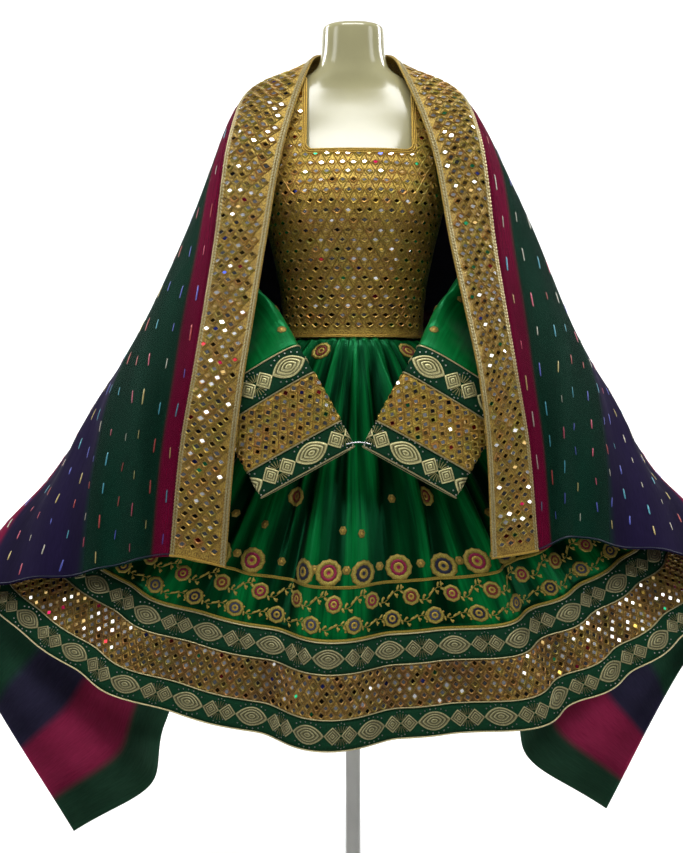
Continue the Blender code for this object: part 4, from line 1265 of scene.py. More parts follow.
def mirror_work(name, ground, u, v, half_long, half_wide, pitch, row_pitch, seed, cord_colour,
                painted_light):
    """Mirrors with rims and the crossing cords of one piece of mirror work."""
    rng = np.random.default_rng(seed)
    count = len(u)
    painted_light = np.broadcast_to(painted_light, u.shape)
    u = u + rng.normal(0.0, SCATTER, count)
    v = v + rng.normal(0.0, SCATTER, count)
    tilt = rng.normal(0.0, TILT, count)
    scale = rng.normal(1.0, SIZE_SPREAD, count)
    lean_u, lean_v = rng.normal(0.0, LEAN, count), rng.normal(0.0, LEAN, count)
    plate = mirror_motif(half_long, half_wide)
    wide = len(plate[0])
    # Each mirror's tint is a painted reflection: pale where it stands for a lamp, dark for the dim
    # room.
    tints = np.concatenate([np.repeat(painted_mirror_reflections(painted_light, seed + 1), wide, axis=0),
                            np.ones((count * wide, 1))], axis=1)
    mirrors = mesh_piece(
        name + "_mirrors", flat_mirrors(ground, u, v, plate, tilt, scale, lean_u, lean_v),
        copied_faces(plate[1], count, wide), MIRROR,
        attributes=[("tint", tints)], smooth=12.0)
    dull = tuple(STRAND_DULL * channel for channel in cord_colour)
    inner = v > v.min() + row_pitch / 2
    # Rims and cords: a random tone of the thread, painted lighter where the mirrors catch the lamps.
    shade = rng.uniform(0.8, 1.1, (count, 3)) ** np.array((1.0, 1.1, 1.3))
    shade = shade * (0.72 + 0.45 * painted_light)[:, None]
    batches = [(rim_motif(half_long, half_wide, cord_colour), u, v, tilt, scale, shade)]
    for step in (pitch / 2, -pitch / 2):
        strand = strand_motif(step, row_pitch, STRAND_WIDE, STRAND_HIGH, dull)
        batches.append((strand, u[inner], v[inner] - row_pitch, 0.0, 1.0, shade[inner]))
    net = embroider(name + "_cords", ground, batches, GOLD_CORD)
    print(name, "has", count, "mirrors")
    return mirrors, net


# %% [markdown]
# The bodice
#
# Front and back panels are cut to the form with a little ease. The front has a wide square
# neckline, and the armholes narrow the panels at the sides. A fitted bodice has no slack for cloth
# simulation to find, so each panel is the form's own skin, moved out by the ease.

# %% A ruler round the body
NECKLINE_LEFT, NECKLINE_RIGHT, NECKLINE_FRONT, NECKLINE_BACK = 0.075, 0.094, 1.27, 1.35
BODICE_LIFT = BODICE_EASE + WALL
ROUND_TABLE = np.linspace(0.0, math.pi, 361)
HEIGHT_TABLE = np.linspace(WAIST_HEIGHT - 0.01, STRAP_TOP + 0.012, 120)
RING_RUN = np.array([run_along(ring) for ring in body(*np.meshgrid(ROUND_TABLE, HEIGHT_TABLE))])
HALVINGS = 22


def run_at(turn, height):
    """Metres round the body from the middle of the front, for turns from 0 to half a turn."""
    a = np.clip(turn / ROUND_TABLE[1], 0, len(ROUND_TABLE) - 1.001)
    b = np.clip((height - HEIGHT_TABLE[0]) / (HEIGHT_TABLE[1] - HEIGHT_TABLE[0]), 0,
                len(HEIGHT_TABLE) - 1.001)
    i, j = a.astype(int), b.astype(int)
    fa, fb = a - i, b - j
    low = RING_RUN[j, i] * (1 - fa) + RING_RUN[j, i + 1] * fa
    high = RING_RUN[j + 1, i] * (1 - fa) + RING_RUN[j + 1, i + 1] * fa
    return low * (1 - fb) + high * fb


def turn_at_run(run, height):
    """The turn that lies run metres round from the middle of the front, by halving."""
    low, high = np.zeros_like(run), np.full_like(run, math.pi)
    for _ in range(HALVINGS):
        middle = (low + high) / 2
        short = run_at(middle, height) < run
        low, high = np.where(short, middle, low), np.where(short, high, middle)
    return (low + high) / 2


def bodice_skin(turn, height):
    """The outer face of the bodice."""
    return body(turn, height) + facing(body, turn, height, *BODY_STEPS) * BODICE_LIFT


def bodice_at(run, height):
    """The bodice's outer face, run metres round from the middle of the front."""
    run, height = arrays(run, height)
    turn = turn_at_run(np.abs(run), height) * np.sign(run)
    return bodice_skin(turn, height)


BODICE = Ground(bodice_at)
print("the waist measures", round(2 * float(run_at(math.pi, WAIST_HEIGHT)), 2), "m round the form")


# %% Bodice cloth
SIDE_COLUMNS, NECK_COLUMNS, SIDE_SEAM = 22, 38, 0.002


def in_panel(turn, height, behind, margin=0.0):
    """True where a panel has cloth, margin metres inside its edges."""
    whole_turn = np.where(turn > math.pi, turn - 2 * math.pi, turn)
    x = body(turn, height)[..., 0]
    outer = armhole_turn(height, behind)
    outer_x = body(outer, height)[..., 0]
    inside = np.abs(x) < outer_x - margin
    if behind:
        inside &= np.abs(whole_turn) >= math.pi / 2 - 0.2
    neckline = NECKLINE_BACK if behind else NECKLINE_FRONT
    neck = ((height > neckline - margin) & (x < NECKLINE_RIGHT + margin)
            & (x > -NECKLINE_LEFT - margin))
    return inside & ~neck


def bodice_panel(name, behind, replaced):
    """One panel; its columns are packed so that they follow the neckline and the armhole."""
    neckline = NECKLINE_BACK if behind else NECKLINE_FRONT
    heights = np.concatenate([np.linspace(WAIST_HEIGHT, UNDERARM, 40)[:-1],
                              np.linspace(UNDERARM, neckline, 30)[:-1],
                              np.linspace(neckline, STRAP_TOP, 24)])
    stops = np.cumsum((0.0, SIDE_COLUMNS, NECK_COLUMNS, SIDE_COLUMNS))

    def turns_at(column, height):
        whole = 2 * math.pi if behind else 0.0
        outer = armhole_turn(height, behind)
        right = turn_at(NECKLINE_RIGHT, height, behind)
        left = whole - turn_at(NECKLINE_LEFT, height, behind)
        gap = SIDE_SEAM * np.sign(left - right)
        places = np.stack([outer + gap, right, left, whole - outer - gap], axis=-1)
        k = np.clip(np.searchsorted(stops, column, side="right") - 1, 0, 2)
        share = (column - stops[k]) / (stops[k + 1] - stops[k])
        first = np.take_along_axis(places, k[..., None], axis=-1)[..., 0]
        last = np.take_along_axis(places, k[..., None] + 1, axis=-1)[..., 0]
        return first + (last - first) * share

    # Painted light: the gold ground is painted darker low on the bodice and lighter towards the
    # chest, where the top lamp falls.
    return cloth(name, lambda a, b: bodice_skin(turns_at(a, b), b), np.arange(stops[-1] + 1),
                 heights, lambda a, b: (body(turns_at(a, b), b)[..., 0] * 1.2, b), GOLD_GROUND,
                 [replaced], WALL, flip=not behind,
                 keep=lambda a, b: ~((b > neckline) & (a > stops[1]) & (a < stops[2])),
                 shade=lambda a, b: 0.6 + 0.4 * ease((b - 1.12) / 0.12))


bodice_front = bodice_panel("bodice_cloth_front", False, "bodice_front")
bodice_back = bodice_panel("bodice_cloth_back", True, "bodice_back")
print("bodice panels have", COUNTS["bodice_cloth_front"], "triangles each")

# %% [markdown]
# The bodice's mirrors
#
# Rows of mirrors run level round the bodice, about a centimetre and a half apart. A grid over the
# panels would squeeze them where the body narrows, so they are placed in metres round it. The
# chest leans back and catches the lamps, so there more mirrors are painted with reflections of
# the lamps and the cords are painted lighter; so are the sides of the front.

# %% Bodice mirrors
BODICE_PITCH, BODICE_ROW, BODICE_HALF_ROUND, EDGE_MARGIN = 0.0172, 0.0152, 0.52, 0.007
u, v = lattice(-BODICE_HALF_ROUND, BODICE_HALF_ROUND, WAIST_HEIGHT + 0.012, STRAP_TOP - 0.006,
               BODICE_PITCH, BODICE_ROW)
turns = turn_at_run(np.abs(u), v) * np.sign(u)
round_half = run_at(np.full_like(v, math.pi), v)
ahead = np.abs(turns) < math.pi / 2
good = np.where(ahead, in_panel(turns, v, False, EDGE_MARGIN),
                in_panel(turns, v, True, EDGE_MARGIN))
good &= np.abs(u) < round_half - 0.006
u, v = u[good], v[good]
# Painted light and reflections: strongest high on the chest and at the sides of the front.
lit_chest = np.clip((v - 1.14) / 0.09, 0.0, 1.0)
lit_sides = np.where((np.abs(u) > 0.055) & (np.abs(u) < 0.13), 0.45, 0.0)
BODICE_MIRRORS = mirror_work("bodice", BODICE, u, v, 0.0047, 0.0032, BODICE_PITCH, BODICE_ROW, 11,
                             BRIGHT_GOLD, 0.16 + 0.74 * np.maximum(lit_chest, lit_sides))

# %% [markdown]
# Bindings on the bodice
#
# A narrow gold cord binds the square neckline, and another covers the seam at the waist. Each is
# a round cord laid on the panel's own surface, so it stays on the cloth all the way round.

# %% Neck and waist cords
CORNER = 0.012
NECK_CORDS = ((0.0015, 0.0016), (0.0045, 0.0014), (0.0072, 0.0012))
WAIST_CORDS = ((0.0012, 0.0013), (0.0036, 0.001))


def neck_line(behind, inset):
    """The neckline from shoulder to shoulder, with its corners rounded."""
    bottom = (NECKLINE_BACK if behind else NECKLINE_FRONT) - inset
    bend = np.linspace(0.0, math.pi / 2, 6)[1:-1]
    down = np.concatenate([np.linspace(STRAP_TOP, bottom + CORNER, 24),
                           bottom + CORNER * (1 - np.sin(bend))])
    inward = np.concatenate([np.zeros(24), CORNER * (1 - np.cos(bend))])
    right = turn_at(NECKLINE_RIGHT + inset - inward, down, behind)
    left = (2 * math.pi if behind else 0.0) - turn_at(NECKLINE_LEFT + inset - inward, down, behind)
    across = np.linspace(right[-1], left[-1], 40)[1:-1]
    return (np.concatenate([right, across, left[::-1]]),
            np.concatenate([down, np.full(len(across), bottom), down[::-1]]))


def on_bodice(turns, heights, radius, closed):
    """A cord's run along the bodice's outer face."""
    return (bodice_skin(turns, heights), facing(body, turns, heights, *BODY_STEPS), radius, closed,
            BRIGHT_GOLD, 1.0)


def neck_binding(name, behind, replaced):
    """Three cords side by side along a neckline."""
    return cords(name, [on_bodice(*neck_line(behind, inset), radius, False)
                        for inset, radius in NECK_CORDS], BRAID, [replaced], 8)


neck_front = neck_binding("neck_cord_front", False, "neck_binding_front")
neck_back = neck_binding("neck_cord_back", True, "neck_binding_back")
waist_turns = turns_round(160)
waist_cord = cords("waist_cord", [
    on_bodice(waist_turns, np.full(160, WAIST_HEIGHT + above), radius, True)
    for above, radius in WAIST_CORDS], BRAID, ["waist_piping"], 8)
print("bindings:", len(NECK_CORDS), "cords at each neckline and", len(WAIST_CORDS), "at the waist")

# %% [markdown]
# The skirt's cloth
#
# The satin and the three bands of the hem lie on the one skirt surface, each cut at its own
# distance above the hem. The bands are narrow strips of velvet and gold work sewn edge to edge,
# so all of them share the folds.

# %% Satin and bands
ROUND_FINE, SATIN_COLUMNS, METRES_ROUND, BAND_THICK, SATIN_THICK = 720, 640, 3.0, 0.0014, 0.0012


def round_stops(columns):
    """Shares of the way round the skirt, from the middle of the back to itself."""
    return np.linspace(0.0, 1.0, columns + 1) + 0.5


def hem_strip(name, top, bottom, rows, made_of, replaced):
    """A strip of the skirt between two distances above the hem."""
    return cloth(name, lambda a, b: skirt(a, skirt_length(a) - b), round_stops(ROUND_FINE),
                 np.linspace(top, bottom, rows), lambda a, b: ((a - 0.5) * METRES_ROUND, b),
                 made_of, [replaced], BAND_THICK, flip=True,
                 shade=lambda a, b: trough_shade(a, SKIRT_LENGTH - b))


satin_share = np.concatenate([np.linspace(0.0, 0.3, 28)[:-1], np.linspace(0.3, 1.0, 28)])
skirt_cloth = cloth(
    "skirt_satin_cloth",
    lambda a, b: skirt(a, b * (skirt_length(a) - TRIMS - SEAM_GAP)), round_stops(SATIN_COLUMNS),
    satin_share, lambda a, b: ((a - 0.5) * METRES_ROUND, b * (SKIRT_LENGTH - TRIMS)), SATIN,
    ["skirt_satin"], SATIN_THICK, flip=True,
    shade=lambda a, b: trough_shade(a, b * (SKIRT_LENGTH - TRIMS)))
ribbon_upper = hem_strip("hem_ribbon_upper", TRIMS, LOWER_RIBBON + MIRROR_BAND + SEAM_GAP, 6,
                         VELVET, "skirt_ribbon_upper")
hem_band = hem_strip("hem_mirror_cloth", LOWER_RIBBON + MIRROR_BAND, LOWER_RIBBON + SEAM_GAP, 8,
                     HEM_GROUND, "skirt_mirror_band")
ribbon_lower = hem_strip("hem_ribbon_lower", LOWER_RIBBON, SEAM_GAP, 6, VELVET,
                         "skirt_ribbon_lower")
print("the skirt's satin has", COUNTS["skirt_satin_cloth"], "triangles")

# %% [markdown]
# A ruler round the skirt
#
# Steps of equal angle would crowd motifs on the flanks of the folds. skirt_ruler() measures the
# folded line at one height, as a tape would, and turns metres along it back into a place on the
# skirt. All the hem's embroidery is laid out with such rulers.

# %% A ruler round the skirt
RULER_STOPS = 4096


def skirt_ruler(above):
    """A ground whose u is metres round the skirt at a distance above the hem, from the front."""
    q = np.linspace(0.0, 1.0, RULER_STOPS + 1)
    run = run_along(skirt(q, skirt_length(q) - above))

    def at(u, v):
        u, v = arrays(u, v)
        around = np.interp(u % run[-1], run, q)
        return skirt(around, skirt_length(around) - v)

    return Ground(at), run[-1]


HEM_BAND_GROUND, hem_round = skirt_ruler(LOWER_RIBBON + MIRROR_BAND / 2)
LOWER_GROUND, lower_round = skirt_ruler(LOWER_RIBBON / 2)
UPPER_GROUND, upper_round = skirt_ruler(TRIMS - UPPER_RIBBON / 2)
print("the lower ribbon measures", round(lower_round, 2), "m round along its folds")

# %% [markdown]
# The hem's mirrors
#
# The middle band of the hem has the bodice's mirror work in a darker gold and with smaller
# mirrors. Its step is stretched so that a whole number fits the way round. Patches of mirrors
# painted with bright reflections come and go along it, as where folds turn to the light.

# %% Hem mirrors
HEM_STEP, HEM_ROW, HEM_CORD_GOLD, HEM_GLINT_PATCHES = 0.0145, 0.0108, (0.46, 0.28, 0.05), 21.0
HEM_PITCH = hem_round / round(hem_round / HEM_STEP)
u, v = lattice(0.0, hem_round - HEM_PITCH / 4, LOWER_RIBBON + 0.007,
               LOWER_RIBBON + MIRROR_BAND - 0.005, HEM_PITCH, HEM_ROW)
# Painted reflections and light come and go in patches along the band.
HEM_MIRRORS = mirror_work("hem", HEM_BAND_GROUND, u, v, 0.0037, 0.004, HEM_PITCH, HEM_ROW, 21,
                          HEM_CORD_GOLD, 0.16 + 0.22 * np.sin(u * HEM_GLINT_PATCHES) ** 2)

# %% [markdown]
# Velvet ribbon motifs
#
# The ribbons repeat an eye-shaped medallion of wound pale gold, ringed with silver beads, and a
# pair of linked diamonds with bursts of stitches above and below the link. One repeat is about
# ten and a half centimetres, and it is stretched a touch so that a whole number fits each round.

# %% Eyes, diamonds and beads
REPEAT = 0.105
HALO_BEADS, HALO_ROUND, HALO_FLAT, HALO_HALF = 20, 0.0285, 0.66, 0.025
FAN_REACH, FAN_NARROW, BURST_REACH, BURST_AWAY = 0.019, 0.62, 0.0105, 0.0045


def wound(outline, sides, steps):
    """Pale gold thread wound in rings, high and low by turns."""
    rings = []
    for k in range(steps):
        share = 1.0 - k / steps
        rings.append((share, 0.0003, WOUND_DARK if k else WOUND_MID))
        rings.append((share - 0.28 / steps, 0.0014, WOUND_LIGHT))
        rings.append((share - 0.66 / steps, 0.0014, WOUND_MID))
    return both_ways(motif(outline, rings, sides))


def bead(radius):
    """A silver bead with five sides."""
    return motif(round_outline(radius), ((1.0, 0.0, SILVER), (0.7, radius * 0.9, SILVER)), 5)


def halo():
    """Beads round an eye, and a fan of them above and below the diamonds."""
    turns = 2 * math.pi * (np.arange(HALO_BEADS) + 0.5) / HALO_BEADS
    beads = [(bead(0.0013), x, y * HALO_FLAT) for x, y in zip(*round_outline(HALO_ROUND)(turns))
             if abs(x) < HALO_HALF]
    for side in (-1.0, 1.0):
        for lean in np.radians(np.linspace(-50.0, 50.0, 5)):
            beads.append((bead(0.0012), REPEAT / 2 + FAN_REACH * math.sin(lean) * FAN_NARROW,
                          side * FAN_REACH * math.cos(lean)))
    return both_ways(joined(*beads))


def burst():
    """Stitches that burst up and down from the link between two diamonds."""
    stitches = []
    for side in (-1.0, 1.0):
        for lean in np.radians(np.linspace(-54.0, 54.0, 7)):
            dx, dy = BURST_REACH * math.sin(lean), side * BURST_REACH * math.cos(lean)
            stitches.append((strand_motif(dx, dy, 0.0006, 0.0009, WOUND_MID, 1),
                             REPEAT / 2 + dx * 0.5, side * BURST_AWAY))
    return joined(*stitches)


EYE = wound(eye_outline(0.026, 0.015), 24, 4)
DIAMOND = wound(diamond_outline(0.015, 0.015), 12, 3)
HALO, BURST = halo(), burst()
print("an eye has", len(EYE[1]), "faces and its halo", len(HALO[1]))


# %% Ribbon work
# Painted light and shade: the same motifs are painted darker on the hem, which the lamps light less,
# and lighter on the cuffs.
HEM_PAINTED_SHADE, CUFF_PAINTED_LIGHT, DIAMOND_APART, DIAMOND_SMALLER = 0.62, 1.35, 0.128, 0.92
LOWER_FIRST, UPPER_FIRST = 0.03, 0.062


def ribbon_work(whole, middle, first, painted_tone):
    """Motifs, and beads, along a ribbon that is whole metres round, on its middle line."""
    count = max(1, round(whole / REPEAT))
    places = first + whole * np.arange(count) / count
    stretch = whole / count / REPEAT
    # One painted light-and-shade factor for every motif and bead of the ribbon.
    painted_tones = np.full((count, 3), painted_tone)
    motifs = [(EYE, places, middle, 0.0, stretch, painted_tones)]
    for away in (-DIAMOND_APART, DIAMOND_APART):
        motifs.append((DIAMOND, places + REPEAT * stretch * (0.5 + away), middle, 0.0,
                       stretch * DIAMOND_SMALLER, painted_tones))
    motifs.append((BURST, places, middle, 0.0, stretch, painted_tones))
    return motifs, [(HALO, places, middle, 0.0, stretch, painted_tones)]


def sew_ribbon(motif_name, bead_name, ground, motifs, beads):
    """Sews a ribbon's motifs in gold thread and its beads in silver."""
    return (embroider(motif_name, ground, motifs, THREAD),
            embroider(bead_name, ground, beads, BEADS))


lower_work = ribbon_work(lower_round, LOWER_RIBBON / 2, LOWER_FIRST, HEM_PAINTED_SHADE)
upper_work = ribbon_work(upper_round, TRIMS - UPPER_RIBBON / 2, UPPER_FIRST, HEM_PAINTED_SHADE)
lower_motifs, lower_silver = sew_ribbon("hem_lower_motifs", "hem_lower_beads", LOWER_GROUND,
                                        *lower_work)
upper_motifs, upper_silver = sew_ribbon("hem_upper_motifs", "hem_upper_beads", UPPER_GROUND,
                                        *upper_work)
print("the lower ribbon repeats", len(lower_work[0][0][1]), "times round the hem")

# %% [markdown]
# Braids and pipings round the skirt
#
# Cream-gold piping edges both ribbons. Above them a double gold braid closes the satin, and a
# single braid runs above the flowers. They are round cords laid on the folds at their own
# distance above the hem.

# %% Skirt cords
FLORAL_TOP = TRIMS + 0.083


def round_cord(above, radius, colour, flat=1.0):
    """A cord's run right round the skirt, at a distance above the hem."""
    q = np.arange(ROUND_FINE) / ROUND_FINE
    down = skirt_length(q) - above
    path = skirt(q, down)
    out = facing(skirt, q, down, 0.0006, 0.002)
    outward = np.mean(np.sum(out * (path - path.mean(axis=0)), axis=-1))
    return path, out * np.sign(outward), radius, True, colour, flat


pipings = cords("hem_pipings", [
    round_cord(0.0008, 0.0012, CREAM_GOLD), round_cord(LOWER_RIBBON, 0.0011, CREAM_GOLD),
    round_cord(LOWER_RIBBON + MIRROR_BAND, 0.0011, CREAM_GOLD)], BRAID, sides=5)
braids = cords("skirt_braids", [
    round_cord(TRIMS + 0.0005, 0.0012, CREAM_GOLD),
    round_cord(TRIMS + 0.004, 0.0021, FRINGE_GOLD, 0.6),
    round_cord(FLORAL_TOP, 0.0025, FRINGE_GOLD, 0.5)], BRAID, sides=5)
print("pipings and braids have", COUNTS["hem_pipings"] + COUNTS["skirt_braids"], "triangles")

# %% [markdown]
# Flowers and vines on the satin
#
# Between the braids runs a border of small rosettes in a zigzag, magenta or rust above and slate
# below, joined by gold vines with leaves and berries. Each vine is one motif of short straight
# stitches, which bends with the folds when it is sewn on.

# %% A vine
# Where along the stem each leaf grows, on which side, and how it leans; then the berries
LEAVES = ((0, -1, -1.2), (1, 1, 1.1), (2, -1, -0.9), (3, 1, 0.7), (4, 1, 0.8), (5, -1, -1.2),
          (6, 1, 1.0), (7, 1, 1.3), (7, -1, -0.7))
BERRIES = ((0, 1), (2, 1), (3, -1), (6, -1), (8, 1), (8, -1))
LEAF_AHEAD, LEAF_AWAY, BERRY_AWAY = 0.0035, 0.0048, 0.007


def turn_motif(shape, turn):
    """A motif turned where it lies."""
    points, faces, colours = shape
    c, s = math.cos(turn), math.sin(turn)
    turned_points = points.copy()
    turned_points[:, 0] = points[:, 0] * c - points[:, 1] * s
    turned_points[:, 1] = points[:, 0] * s + points[:, 1] * c
    return turned_points, faces, colours


def vine():
    """A wavy stem with leaves and berries, five centimetres long."""
    t = np.linspace(-1.0, 1.0, 9)
    x, y = 0.024 * t, 0.0075 * np.sin(2.6 * t)
    leaf = motif(eye_outline(0.0052, 0.0022), ((1.0, 0.0, FRINGE_GOLD), (0.6, 0.0009, FRINGE_LIGHT)),
                 6)
    berry = both_ways(motif(round_outline(0.0021), ((1.0, 0.0, FRINGE_GOLD),
                                                    (0.6, 0.0012, BRIGHT_GOLD)), 6))
    parts = [(strand_motif(x[k + 1] - x[k], y[k + 1] - y[k], 0.0006, 0.0008, FRINGE_GOLD, 1),
              x[k], y[k]) for k in range(8)]
    parts += [(both_ways(turn_motif(leaf, lean)), x[place] + LEAF_AHEAD,
               y[place] + side * LEAF_AWAY) for place, side, lean in LEAVES]
    parts += [(berry, x[place], y[place] + side * BERRY_AWAY) for place, side in BERRIES]
    return joined(*parts)


VINE = vine()
print("one vine has", len(LEAVES), "leaves and", len(BERRIES), "berries")


# %% Flower border
FLORAL_STEP, BORDER_ROSETTE = 0.065, 0.0138
FLORAL_GROUND, floral_round = skirt_ruler(TRIMS + 0.042)
FLORAL_COUNT = round(floral_round / FLORAL_STEP)
FLORAL_PITCH = floral_round / FLORAL_COUNT
low_row, high_row = TRIMS + 0.025, TRIMS + 0.058
places = FLORAL_PITCH * np.arange(FLORAL_COUNT)
odd = np.arange(FLORAL_COUNT) % 2 == 1
flowers = embroider("skirt_flower_border", FLORAL_GROUND, [
    (rosette(BORDER_ROSETTE, colour, 16), row_places, row, 0.0, 1.0)
    for colour, row_places, row in ((NAVY, places[odd], low_row),
                                    (GREY_BLUE, places[~odd], low_row),
                                    (RUST, places[odd] + FLORAL_PITCH / 2, high_row),
                                    (MAGENTA, places[~odd] + FLORAL_PITCH / 2, high_row))],
    THREAD)
vines = embroider("skirt_vines", FLORAL_GROUND, (
    (VINE, places, high_row + 0.002, 0.15, 0.95),
    (VINE, places + FLORAL_PITCH / 2, low_row - 0.002, -0.2, 0.85)), THREAD)
print("the border has", 2 * FLORAL_COUNT, "rosettes and as many vines")

# %% [markdown]
# Rosettes above the border
#
# Larger rosettes stand in a row above the border, with a small flower in each gap, and a few rust
# ones lie scattered higher up. Even steps all the way round would look stamped, so the seven in
# front have places of their own.

# %% Large rosettes
# Shares of the way round of the large ones in front; the rest follow at even steps
FRONT_ROSETTES = np.array((-0.0799, -0.0375, -0.0178, 0.0072, 0.0345, 0.0662, 0.0902))
# Shares of the way round of three small flowers in front, and metres above the hem
FRONT_SMALL, FRONT_SMALL_UP = np.array((-0.0782, 0.0065, 0.0362)), (0.326, 0.325, 0.376)
BIG_STEP, BIG_ROW, SMALL_UP = 0.0262, FLORAL_TOP + 0.022, 0.065
SCATTERED_COUNT, SCATTERED_FIRST, SCATTERED_STEP, SCATTERED_UP = 10, 0.0686, 0.0971, 0.11

BIG_GROUND, big_round = skirt_ruler(FLORAL_TOP + 0.03)
around_back = np.linspace(FRONT_ROSETTES[-1], 1.0 + FRONT_ROSETTES[0],
                          round((1.0 + FRONT_ROSETTES[0] - FRONT_ROSETTES[-1]) / BIG_STEP) + 1)
big_places = big_round * (np.concatenate([FRONT_ROSETTES, around_back[1:-1]]) % 1.0)
big_places = np.sort(big_places)
big_gaps = (np.roll(big_places, -1) - big_places) % big_round
odd = np.arange(len(big_places)) % 2 == 1
small_flower = both_ways(motif(round_outline(0.0072, 6, 0.07), (
    (1.0, 0.0, FRINGE_DARK), (0.8, 0.001, FRINGE_GOLD), (0.4, 0.0006, OLD_GOLD),
    (0.2, 0.0013, BRIGHT_GOLD)), 12))
scattered = big_round * ((SCATTERED_FIRST + SCATTERED_STEP * np.arange(SCATTERED_COUNT)) % 1.0)
small_places = np.concatenate([big_round * (FRONT_SMALL % 1.0),
                               scattered + big_round * SCATTERED_STEP / 2])
small_up = np.concatenate([FRONT_SMALL_UP, np.full(SCATTERED_COUNT, BIG_ROW + SMALL_UP)])
big_flowers = embroider("skirt_rosettes", BIG_GROUND, (
    (rosette(0.021, MAGENTA, 24), big_places[odd], BIG_ROW, 0.0, 1.0),
    (rosette(0.021, NAVY, 24), big_places[~odd], BIG_ROW - 0.003, 0.0, 1.0),
    (small_flower, big_places + big_gaps / 2, BIG_ROW + 0.004, 0.0, 1.0),
    (rosette(0.0165, RUST, 20), scattered, BIG_ROW + SCATTERED_UP, 0.0, 1.0),
    (small_flower, small_places, small_up, 0.0, 1.0)), THREAD)
print(len(big_places), "large rosettes and", SCATTERED_COUNT, "scattered ones")

# %% [markdown]
# Rosettes under the waist
#
# Five more rosettes lie right under the waist. The cloth is much narrower there, so they have a
# ruler of their own.

# %% Rosettes under the waist
WAIST_ROW, WAIST_FIRST, WAIST_STEP, WAIST_COUNT = 0.622, -0.0672, 0.1865, 5
WAIST_GROUND, waist_round = skirt_ruler(0.63)
waist_places = waist_round * ((WAIST_FIRST + WAIST_STEP * np.arange(WAIST_COUNT)) % 1.0)
waist_flowers = embroider("waist_rosettes", WAIST_GROUND, (
    (rosette(0.015, RUST, 20), waist_places, WAIST_ROW, 0.0, 1.0),), THREAD)
print("under the waist the satin measures", round(waist_round, 2), "m round")

# %% [markdown]
# Sleeves and cuffs
#
# The sleeves are plain satin with soft creases. Each cuff is a flat tube in three bands, like the
# hem, all cut from the sleeve's one surface so that they meet.

# %% Sleeve cloth
SLEEVE_SIDES = (("left", sleeve, 1.0), ("right", right_sleeve, -1.0))
CUFF_STOPS = (SLEEVE_LENGTH - CUFF, SLEEVE_LENGTH - CUFF + CUFF_RIBBON_UPPER,
              SLEEVE_LENGTH - CUFF_RIBBON_LOWER, SLEEVE_LENGTH - 0.001)
CUFF_BANDS = (("cuff_ribbon_upper_", VELVET, "bottle_green_velvet"),
              ("cuff_mirror_band_", GOLD_GROUND, "gold_mirror_work"),
              ("cuff_ribbon_lower_", VELVET, "bottle_green_velvet"))
SLEEVE_TURNS = np.linspace(0.0, 2 * math.pi, 97) + math.pi
SLEEVE_THICK, METRES_A_RADIAN = 0.0013, 0.055


def sleeve_strip(name, surface, side, first, last, rows, made_of, replaced):
    """A band round a sleeve; its painted shade follows the soft creases."""
    return cloth(name, surface, SLEEVE_TURNS, np.linspace(first, last, rows),
                 lambda a, b: ((a - math.pi) * METRES_A_RADIAN, b), made_of, [replaced],
                 SLEEVE_THICK, flip=side > 0,
                 shade=lambda a, b: 0.84 + 0.16 * sleeve_wave(a, b))


sleeves, cuff_cloths = [], []
for label, surface, side in SLEEVE_SIDES:
    sleeves.append(sleeve_strip("sleeve_cloth_" + label, surface, side, 0.0,
                                CUFF_STOPS[0] - SEAM_GAP, 92, SATIN,
                                "sleeve_" + label))
    for k, (band, made_of, slot) in enumerate(CUFF_BANDS):
        cuff_cloths.append(sleeve_strip(
            "cloth_" + band + label, surface, side, CUFF_STOPS[k], CUFF_STOPS[k + 1] - SEAM_GAP, 10,
            made_of, band + label))
print(len(sleeves), "sleeves with", len(cuff_cloths), "bands on their cuffs")

# %% [markdown]
# The cuffs' embroidery
#
# The cuffs carry the hem's work in small: mirrors on the middle band, and eyes and diamonds on the
# velvet. A ruler round the cuff lets the same functions sew them. A few small flowers lie
# scattered up each sleeve.

# %% A ruler round the cuff
def cuff_ruler(surface, side):
    """A ground whose u is metres round the cuff from the middle of its front face, and v metres
    down the sleeve; with it the way round, and what turns a turn into metres."""
    turn = np.linspace(0.0, 2 * math.pi, 721)
    run = run_along(surface(turn, SLEEVE_LENGTH - CUFF / 2))

    def at(u, v):
        u, v = arrays(u, v)
        return surface(np.interp(u % run[-1], run, turn), v)

    return Ground(at, side=side), run[-1], lambda at_turn: np.interp(at_turn, turn, run)


def cuff_cord(surface, along, radius, colour):
    """A cord's run round the cuff, along metres down the sleeve."""
    turns = turns_round(120)
    path = surface(turns, along)
    normal = facing(surface, turns, np.full(120, along), 0.02, 0.002)
    outward = np.sum(normal * unit(path - path.mean(axis=0)), axis=-1, keepdims=True)
    return path, normal * np.sign(outward), radius, True, colour, 1.0


# %% Cuff embroidery
CUFF_STEP, CUFF_ROW, CUFF_MIRROR, CUFF_PIPING = 0.015, 0.0115, 0.004, 0.0012
CUFF_MIDDLES = (((CUFF_STOPS[0] + CUFF_STOPS[1]) / 2, 0.055),
                ((CUFF_STOPS[2] + CUFF_STOPS[3]) / 2, 0.02))
